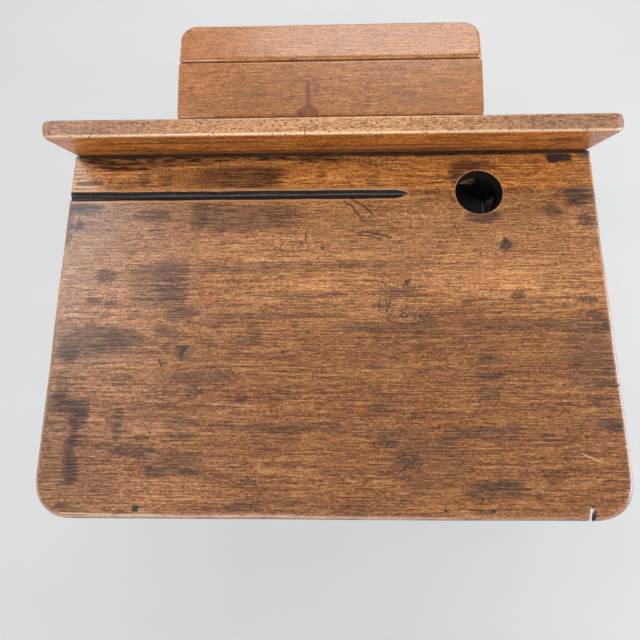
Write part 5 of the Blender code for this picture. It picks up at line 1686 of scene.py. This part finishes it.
def desktop_marks(zone, tree, place, grain, colour, rough, height):
    """Lay the tables over the grain, from the palest marks to the darkest."""
    here = {name: marks_near(table, zone) for name, table in AREAS.items()}
    here.update({name: marks_near(table, zone, True) for name, table in LINES.items()})
    axes, at = ramps_on(tree, place, DESK_RAMPS)
    flat = vectors(tree, "MULTIPLY", place, (1, 1, 0))
    wobble = noise(tree, place, WOBBLE_WAVES, 3.0, 0.6, output="Color")
    wobble = vectors(tree, "MULTIPLY", vectors(tree, "SUBTRACT", wobble, (0.5, 0.5, 0.5)), WOBBLE)
    shift = run_along(tree, grain, RUN)
    loose = vectors(tree, "ADD", vectors(tree, "ADD", flat, wobble), shift)
    firm = vectors(tree, "MULTIPLY_ADD", shift, INK_RUN, flat)
    spread = vectors(tree, "MULTIPLY_ADD", shift, GRIME_RUN, flat)
    patchy = ramped(tree, maths(tree, "MULTIPLY_ADD", grain["Dashes"], 0.7, grain["Lines"]), *UPTAKE)

    def stained(kind, strength=1.0):
        mask = product(tree, inverse(tree, with_patches(tree, loose, here[kind])), patchy)
        return maths(tree, "MULTIPLY", mask, strength, clamp=True)

    def scratched(kind):
        return inverse(tree, with_scratches(tree, flat, here[kind]))

    # The strip behind the groove is redder and painted lighter against the top board's shade, the
    # left side has a painted cool sheen, and the front is darker
    slow = noise(tree, place, (5.0, 16.0, 0.0), 2.0)
    swaying = maths(tree, "MULTIPLY_ADD", slow, FRONT_DARKENING_SWAY, axes["Y"])
    darker_front = product(tree, ramped(tree, swaying, *FRONT_DARKENING_END), at["less darkening at the left"])
    soft = stained("soft")
    red = inverse(tree, with_patches(tree, loose, here["red"]))
    ink = inverse(tree, with_patches(tree, firm, here["ink"], *INK_REACH))
    ink = maths(tree, "MULTIPLY", ink, 1.2, clamp=True)
    grimy = inverse(tree, with_patches(tree, spread, here["grime"], *GRIME_REACH))
    taken_up = ramped(tree, grain["Dashes"], *GRIME_UPTAKE)
    grimy = maths(tree, "MULTIPLY", grimy, taken_up, clamp=True)
    seam = ramped(tree, maths(tree, "MULTIPLY_ADD", grain["Lines"], SEAM_SWAY, axes["Y"]), *SEAM_LINE)
    # Painted shade darkens the undercut of the front and left edges
    undercut_shade = product(tree, at["undercut_shade"], strongest(tree, at["front edge"], at["left edge"]))
    lips, in_groove = groove_masks(tree, grain, axes, at["before the tip"])
    crumbly = mixed(tree, pecks(tree, flat, "crumbs"), CHARCOAL, CRUMB)
    rim = ramped(tree, vectors(tree, "DISTANCE", flat, (INK_X, INK_Y, 0)), *RIM_RANGE)
    struck = [pecks_within(tree, flat, here[kind], kind)
              for kind in ("hatched", "dashed", "speckled")]
    struck.append(maths(tree, "MULTIPLY", scratched("scratches"), 1.1, clamp=True))
    struck.append(product(tree, pecks(tree, flat, "everywhere"), 0.55))
    scored = product(tree, strongest(tree, *struck), at["near the face"])
    colour = layered(
        tree, colour,
        (at["rear strip"], REAR_TINT_AND_PAINTED_LIGHT, DYE),
        (at["painted sheen at the left"], LEFT_PAINTED_SHEEN, DYE),
        (darker_front, FRONT_DARKENING, DYE),
        (stained("light", 0.9), WORN_PALER, DYE),
        (stained("grey"), BLOOM, DYE),
        (soft, HAND_DIRT, DYE),
        (product(tree, red, 0.6), RED_STAIN, PAINT),
        (ink, INK, PAINT),
        (grimy, SEAM_DIRT, DYE),
        (seam, SEAM_BLACK, PAINT),
        (undercut_shade, PAINTED_UNDERCUT_SHADE, DYE),
        (lips, RUBBED_LIP, PAINT),
        (in_groove, crumbly, PAINT),
        (rim, PALE_WOOD, PAINT),
        (product(tree, scored, 0.88), SCORED_WOOD, PAINT),
        (scratched("pale scratches"), PALE_SCORE, PAINT),
        (scratched("chip's painted shade"), NEAR_BLACK, PAINT),
        (scratched("chip's painted shine"), CHIP_PAINTED_HIGHLIGHT, PAINT),
    )
    height = maths(tree, "SUBTRACT", height, product(tree, scored, 1.2))
    dull = product(tree, strongest(tree, soft, ink, scored, in_groove), 0.20)
    rough = strongest(tree, maths(tree, "ADD", rough, dull), product(tree, in_groove, 0.9))
    return colour, rough, height


# %% [markdown]
# ### The top board and the seat
#
# Hands hold the top board wherever the seat is pulled out, so its top edge is rubbed pale and
# full of nicks, with a painted highlight along its arris and a painted cool sheen towards its
# ends. The side towards the desktop is redder and streaked, partly a painted orange bounce
# from the desktop, and it gets painted shade where it reaches down into the book box. The seat
# has one old spill, in the shape of a Y.

# %% Marks on the top board and the seat
BOARD_STREAKS = (
    (-150, 47, 100, 3, 0.8, 1), (60, 30, 120, 4, 0.6, 1), (235, 42, 45, 4, 0.75, 1),
    (-60, 12, 180, 5, 0.6, 1), (150, 14, 90, 4, 0.6, 1), (-220, 20, 60, 4, 0.6, 1),
    (20, 58, 60, 2, 0.5, 1), (190, 60, 50, 2, 0.5, 1), (100, 6, 190, 3, 0.5, 1),
    (-90, 28, 70, 2, 0.6, 1), (255, 20, 30, 3, 0.6, 1), (-180, 62, 90, 2, 0.5, 1),
)
SPILL = (
    (-44, 70, -41, 18, 5, 0.9), (-41, 20, -60, 7, 6, 0.9), (-41, 20, -27, 7, 6, 0.9),
    (-61, 6, -27, 6, 4.5, 0.9), (-29, 76, -27, 50, 7, 0.4),
)
SEAT_STREAKS = (
    (180, 30, 60, 5, 0.35, 1), (-170, 50, 70, 6, 0.3, 1), (90, 70, 80, 5, 0.3, 1),
    (240, 60, 30, 12, 0.3),
)
REDDER_WITH_PAINTED_BOUNCE = (1.04, 0.86, 0.48)
BOX_PAINTED_SHADE = (0.22, 0.18, 0.17)
JOINT_DIRT = (0.022, 0.012, 0.009)
RUBBED_BARE = (0.70, 0.385, 0.195)
COOL_PAINTED_SHEEN_AT_ENDS = (0.62, 0.62, 0.74)
PALE_ARRIS_AND_PAINTED_HIGHLIGHT = (0.90, 0.62, 0.38)
NICK = (0.060, 0.026, 0.014)
SHELF_PAINTED_SHADE = (0.016, 0.008, 0.007)
# Painted shade on the shelf below the ink hole
SPILT = (0.55, 0.36, 0.40)
TOP_RAMPS = {
    "face": ("Z", -0.0035, -0.0012),
    "foot": ("Y", -0.024, -0.019, 1.0, 0.0),
    "edge": ("Y", BACK_RISE - 0.0040, BACK_RISE - 0.0008),
    "arris": ("Y", BACK_RISE - 0.0030, BACK_RISE - 0.0012),
    "arris on the face": ("Z", -0.0032, -0.0016, 0.0, 0.55),
}
JOINT_LINE, JOINT_SWAY = (-0.0015, 0.0020, 0.85, 0.0), -0.008
BARE_WAVES, BARE_CONTRAST = (190.0, 800.0, 800.0), (2.6, -0.85)
END_SHEEN_RANGE = (0.06, 0.25)
SHELF_SHADE_RANGE = (0.02, 0.09)


def top_board_marks(tree, place, grain, colour, rough, height):
    """A rubbed, nicked top edge with a painted highlight and sheen, over a redder, streaked side with
    painted bounce light and painted shade.
    """
    axes, at = ramps_on(tree, place, TOP_RAMPS)
    flat = vectors(tree, "MULTIPLY", place, (1, 1, 0))
    loose = vectors(tree, "ADD", flat, run_along(tree, grain))
    streaks = inverse(tree, with_patches(tree, loose, BOARD_STREAKS))
    ragged = maths(tree, "MULTIPLY_ADD", grain["Lines"], JOINT_SWAY, axes["Y"])
    fine = noise(tree, place, BARE_WAVES, 2.0, 0.6)
    bare = maths(tree, "MULTIPLY_ADD", fine, *BARE_CONTRAST, clamp=True)
    ends = ramped(tree, maths(tree, "ABSOLUTE", axes["X"]), *END_SHEEN_RANGE)
    across = add_node(tree, "CombineXYZ", {"X": axes["X"], "Y": axes["Z"]}).outputs[0]
    pits = product(tree, pecks(tree, across, "pits"), 0.6)
    nicks = product(tree, strongest(tree, pecks(tree, across, "nicks"), pits), at["edge"])
    colour = layered(
        tree, colour,
        # The face is dyed redder: a redder tone and painted orange light bounced from the desktop
        (at["face"], REDDER_WITH_PAINTED_BOUNCE, DYE),
        (product(tree, streaks, at["face"]), DARK_WOOD, PAINT),
        # Painted shade on the face below the desktop, inside the book box
        (product(tree, at["face"], at["foot"]), BOX_PAINTED_SHADE, DYE),
        (product(tree, ramped(tree, ragged, *JOINT_LINE), at["face"]), JOINT_DIRT, PAINT),
        (product(tree, at["edge"], bare), RUBBED_BARE, PAINT),
        # Painted cool sheen on the top edge towards the ends
        (product(tree, at["edge"], ends), COOL_PAINTED_SHEEN_AT_ENDS, DYE),
        # The arris is rubbed pale and carries a painted highlight
        (product(tree, at["arris"], at["arris on the face"]), PALE_ARRIS_AND_PAINTED_HIGHLIGHT, PAINT),
        (product(tree, nicks, 0.85), NICK, PAINT),
    )
    return colour, rough, maths(tree, "SUBTRACT", height, nicks)


def shelf_marks(tree, place, grain, colour, rough, height):
    """Painted shade: the right part of the shelf, below the ink hole, is painted near black and matt.
    """
    axes = add_node(tree, "SeparateXYZ", {0: place}).outputs
    shelf_shade = ramped(tree, axes["X"], *SHELF_SHADE_RANGE)
    colour = mixed(tree, product(tree, shelf_shade, 0.93), colour, SHELF_PAINTED_SHADE)
    return colour, strongest(tree, rough, product(tree, shelf_shade, 0.9)), height


def seat_marks(tree, place, grain, colour, rough, height):
    """One old spill and a few darker streaks."""
    flat = vectors(tree, "MULTIPLY", place, (1, 1, 0))
    loose = vectors(tree, "ADD", flat, run_along(tree, grain, 0.7))
    firm = vectors(tree, "ADD", flat, run_along(tree, grain, 0.03))
    streaks = inverse(tree, with_patches(tree, loose, SEAT_STREAKS))
    spill = inverse(tree, with_scratches(tree, firm, SPILL))
    colour = layered(tree, colour, (streaks, BROWN_WOOD, PAINT), (spill, SPILT, DYE))
    return colour, rough, height


SEAT_TINT = (0.96, 0.84, 0.67)
# Slide along the tree, tone, tint, marks, painted shade and dirt on the sides, coarseness and
# contrast of the grain
tones = {
    "back_top_board": ((1.7, 0.31, 0.2), 0.02, (1.0, 0.95, 0.88), top_board_marks, 0.0, 0.5, 1.05),
    "back_middle_slat": ((3.1, 0.77, 0.5), -0.04, (0.95, 0.88, 0.80), None, 0.3, 0.85, 0.85),
    "back_lower_slat": ((4.9, 1.21, 0.9), -0.06, (0.95, 0.86, 0.78), None, 0.3, 0.85, 0.85),
    # The shelf is toned and tinted darker all over: painted shade inside the book box
    "book_shelf": ((6.3, 1.63, 1.3), -0.22, (0.62, 0.56, 0.52), shelf_marks, 0.4, 1.0, 0.8),
    "seat_board_rear": ((7.9, 2.11, 1.7), 0.02, SEAT_TINT, None, 0.3, 0.45, 0.62),
    "seat_board_middle": ((9.2, 2.57, 2.1), 0.03, SEAT_TINT, seat_marks, 0.3, 0.45, 0.62),
    "seat_board_front": ((11.6, 3.03, 2.6), 0.05, SEAT_TINT, None, 0.3, 0.45, 0.62),
}
for name, recipe in tones.items():
    finish = wood_material(name + "_wood", planes[name], *recipe)
    pieces[name].data.materials.clear()
    pieces[name].data.materials.append(finish)
    print(name, "nodes:", len(finish.node_tree.nodes))

# %% Nine zones of the desktop, and the wall of the ink hole
WALL_REACH = INK_RADIUS + 0.0012
WALL_TOP = -0.0004
desk_mesh = desktop.data
desk_mesh.materials.clear()
centres = np.empty(3 * len(desk_mesh.polygons))
desk_mesh.polygons.foreach_get("center", centres)
centres = moved(centres, planes_desk.inverted())
x_lines, y_lines = ((-1.0, *lines, 1.0) for lines in (ZONES_X, ZONES_Y))
for row in range(3):
    for column in range(3):
        zone = np.array(((x_lines[column], y_lines[row]), (x_lines[column + 1], y_lines[row + 1])))
        finish = wood_material(f"desktop_wood_{3 * row + column + 1}", planes_desk, (0.0, 0.0, 0.0),
                               marks=partial(desktop_marks, zone))
        desk_mesh.materials.append(finish)
        print(finish.name, "nodes:", len(finish.node_tree.nodes))

# Painted shade: the wall of the ink hole is near black and matt, so that the hole looks dark
hole_wall_shade, _, shader = new_material("ink_hole_wall_painted_shade")
shader.inputs["Base Color"].default_value = (0.010, 0.006, 0.005, 1)
shader.inputs["Roughness"].default_value = 1.0
shader.inputs["Specular IOR Level"].default_value = 0.12
desk_mesh.materials.append(hole_wall_shade)
columns, rows = np.digitize(centres[:, 0], ZONES_X), np.digitize(centres[:, 1], ZONES_Y)
from_axis = np.hypot(centres[:, 0] - INK_X, centres[:, 1] - INK_Y)
wall = (from_axis < WALL_REACH) & (centres[:, 2] < WALL_TOP)
numbers = np.where(wall, 9, 3 * rows + columns).astype(np.int32)
desk_mesh.polygons.foreach_set("material_index", numbers)
print("faces of the ink hole's wall:", int(wall.sum()))

# %% [markdown]
# ### Iron and steel
#
# The castings were dipped in black japan, a baked varnish, which has dulled, picked up dust in
# its hollows and worn through to brown iron on its ridges. Geometry's Pointiness finds ridges
# and hollows on a dense mesh. The screws and bolts are bare steel, gone dark.


# %% Iron and steel materials
JAPAN_BLACK, JAPAN_WORN = (0.010, 0.010, 0.011), (0.030, 0.027, 0.025)
DUST = (0.075, 0.060, 0.048)
RUST = (0.090, 0.038, 0.020)
BARE_IRON = (0.160, 0.130, 0.105)
# Painted shade for the iron seen through the ink hole
PAINTED_SHADE_BELOW_HOLE = (0.004, 0.0025, 0.002)
OLD_STEEL, BROWN_SPOTS = (0.200, 0.185, 0.165), (0.085, 0.050, 0.030)
RIDGES, HOLLOWS = (0.530, 0.575), (0.44, 0.485, 1.0, 0.0)
RUST_RANGE, SPOT_RANGE = (0.58, 0.70), (0.45, 0.66)
SHADE_DEPTH_BELOW_HOLE, SHADE_RANGE_BELOW_HOLE = 0.06, (0.15, 0.19, 1.0, 0.0)


def even_noise(tree, place, waves, detail, roughness=0.5):
    """Noise with the same waves per metre along every axis."""
    return noise(tree, place, (waves, waves, waves), detail, roughness)


def iron_material():
    """Black japan over cast iron: worn ridges, dusty hollows and a sand-cast skin."""
    material, tree, shader = new_material("japanned_iron")
    place = add_node(tree, "TexCoord").outputs["Object"]
    sharp = add_node(tree, "NewGeometry").outputs["Pointiness"]
    patchy = even_noise(tree, place, 45.0, 5.0, 0.65)
    uneven = maths(tree, "ADD", sharp, maths(tree, "MULTIPLY_ADD", patchy, 0.10, -0.05))
    worn = ramped(tree, uneven, *RIDGES)
    dusty = ramped(tree, sharp, *HOLLOWS)
    rust = ramped(tree, even_noise(tree, place, 18.0, 5.0, 0.7), *RUST_RANGE)
    # Painted shade: near the spot below the ink hole the iron is painted black and matt, so that the
    # hole looks dark
    below_hole = planes_desk @ Vector((INK_X, INK_Y, -SHADE_DEPTH_BELOW_HOLE))
    shade_below_hole = ramped(tree, vectors(tree, "DISTANCE", place, below_hole), *SHADE_RANGE_BELOW_HOLE)
    colour = layered(
        tree, mixed(tree, patchy, JAPAN_BLACK, JAPAN_WORN),
        (product(tree, dusty, 0.5), DUST, PAINT),
        (product(tree, rust, 0.45), RUST, PAINT),
        (product(tree, worn, 0.75), BARE_IRON, PAINT),
        (shade_below_hole, PAINTED_SHADE_BELOW_HOLE, PAINT),
    )
    rough = strongest(tree, maths(tree, "MULTIPLY_ADD", patchy, 0.30, 0.36), shade_below_hole)
    rough = maths(tree, "MULTIPLY_ADD", rust, 0.2, rough)
    bump = add_node(tree, "Bump", {"Height": even_noise(tree, place, 900.0, 3.0, 0.6),
                                   "Strength": 0.25, "Distance": 0.0005})
    finish_with(tree, shader, colour, rough, bump,
                Metallic=product(tree, worn, inverse(tree, shade_below_hole), 0.8))
    return material


def steel_material():
    """Dark old steel: brown spots over metal, brighter where a driver or a hand has rubbed."""
    material, tree, shader = new_material("dark_steel")
    place = add_node(tree, "TexCoord").outputs["Object"]
    spots = ramped(tree, even_noise(tree, place, 260.0, 4.0, 0.65), *SPOT_RANGE)
    bump = add_node(tree, "Bump", {"Height": even_noise(tree, place, 1500.0, 2.0),
                                   "Strength": 0.15, "Distance": 0.0002})
    finish_with(tree, shader, mixed(tree, spots, OLD_STEEL, BROWN_SPOTS),
                maths(tree, "MULTIPLY_ADD", spots, 0.3, 0.34), bump,
                Metallic=maths(tree, "MULTIPLY_ADD", spots, -0.5, 1.0))
    return material


iron, steel = iron_material(), steel_material()
for piece in pieces.values():
    if piece["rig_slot"] in ("iron", "steel"):
        piece.data.materials.clear()
        piece.data.materials.append(iron if piece["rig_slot"] == "iron" else steel)

# %% [markdown]
# ## Floor, light and camera
#
# The photograph was taken from the pupil's place, looking down on a pale floor in a bright
# room. The floor here is plain. A wide lamp over the far side makes the sheen, a cooler one at
# the right lights the near corner, and the world fills the rest.

# %% Floor
FLOOR_HALF = 6.0
FLOOR_DROP = 0.0002
FLOOR_DARKER, FLOOR_LIGHTER = (0.51, 0.508, 0.500), (0.55, 0.548, 0.545)
steps = np.linspace(-FLOOR_HALF, FLOOR_HALF, 9)
x, y = np.meshgrid(steps, steps)
points = np.stack((x, y, np.full_like(x, -FLOOR_DROP)), axis=-1).reshape(-1, 3)
floor = make_object("floor", points, grid_faces(9, 9, wrap=False).tolist())
material, tree, shader = new_material("pale_floor")
place = add_node(tree, "TexCoord").outputs["Object"]
cloud = noise(tree, place, (1.5, 6.0, 1.0), 4.0, 0.5)
feed(tree, shader, {"Base Color": mixed(tree, cloud, FLOOR_DARKER, FLOOR_LIGHTER)})
shader.inputs["Roughness"].default_value = 0.6
floor.data.materials.append(material)
floor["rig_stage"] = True


# %% Lamps and world
def area_lamp(name, spot, aim, size, power, colour):
    """A square lamp at a spot, turned to shine at a point."""
    lamp = bpy.data.lights.new(name, "AREA")
    lamp.shape, lamp.size, lamp.energy, lamp.color = "SQUARE", size, power, colour
    thing = bpy.data.objects.new(name, lamp)
    bpy.context.scene.collection.objects.link(thing)
    thing.location = spot
    thing.rotation_euler = (Vector(aim) - Vector(spot)).to_track_quat("-Z", "Y").to_euler()
    return thing


DESK_MIDDLE = (0, -0.2, 0.74)
SKY = (0.84, 0.92, 1.0)
# Place, width and power in watts, and colour
LAMPS = {
    "far_window": ((0.4, 2.4, 2.6), 2.0, 65, (1.0, 0.99, 0.97)),
    "room_behind": ((-0.3, -2.4, 1.9), 2.0, 38, (1.0, 0.98, 0.95)),
    "right_window": ((2.3, -0.45, 1.2), 1.5, 40, SKY),
    "left_window": ((-1.6, 0.5, 2.2), 1.2, 26, SKY),
}
for name, (spot, size, power, colour) in LAMPS.items():
    area_lamp(name, spot, DESK_MIDDLE, size, power, colour)

world = bpy.data.worlds.new("bright_room")
bpy.context.scene.world = world
world.use_nodes = True
tree = world.node_tree
background = tree.nodes["Background"]
way = add_node(tree, "TexCoord").outputs["Generated"]
rise = add_node(tree, "SeparateXYZ", {0: way}).outputs["Z"]
tree.links.new(ramped(tree, rise, 0.10, 0.95, 1.0, 0.28), background.inputs["Strength"])
background.inputs["Color"].default_value = (1, 1, 1, 1)

# %% Camera
CAMERA_SPOT = (0.0016, -0.38955, 1.2387)
CAMERA_TURN = (15.3156, 1.3448, 0.1479)
lens = bpy.data.cameras.new("pupil_view")
lens.sensor_width, lens.lens = 36.0, 27.0
camera = bpy.data.objects.new("pupil_view", lens)
bpy.context.scene.collection.objects.link(camera)
camera.location = CAMERA_SPOT
camera.rotation_euler = [math.radians(turn) for turn in CAMERA_TURN]
bpy.context.scene.camera = camera
bpy.context.scene.view_settings.view_transform = "Standard"

# %% [markdown]
# ## Check the size
#
# The pieces should reach only as far as the solids do, so the largest difference of the two boxes is
# printed.

# %% Sizes and the last line
dressed_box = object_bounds()
apart = np.abs(np.array(cad_box) - np.array(dressed_box)).max()
print("largest difference of the boxes in mm:", round(1000 * float(apart), 2))
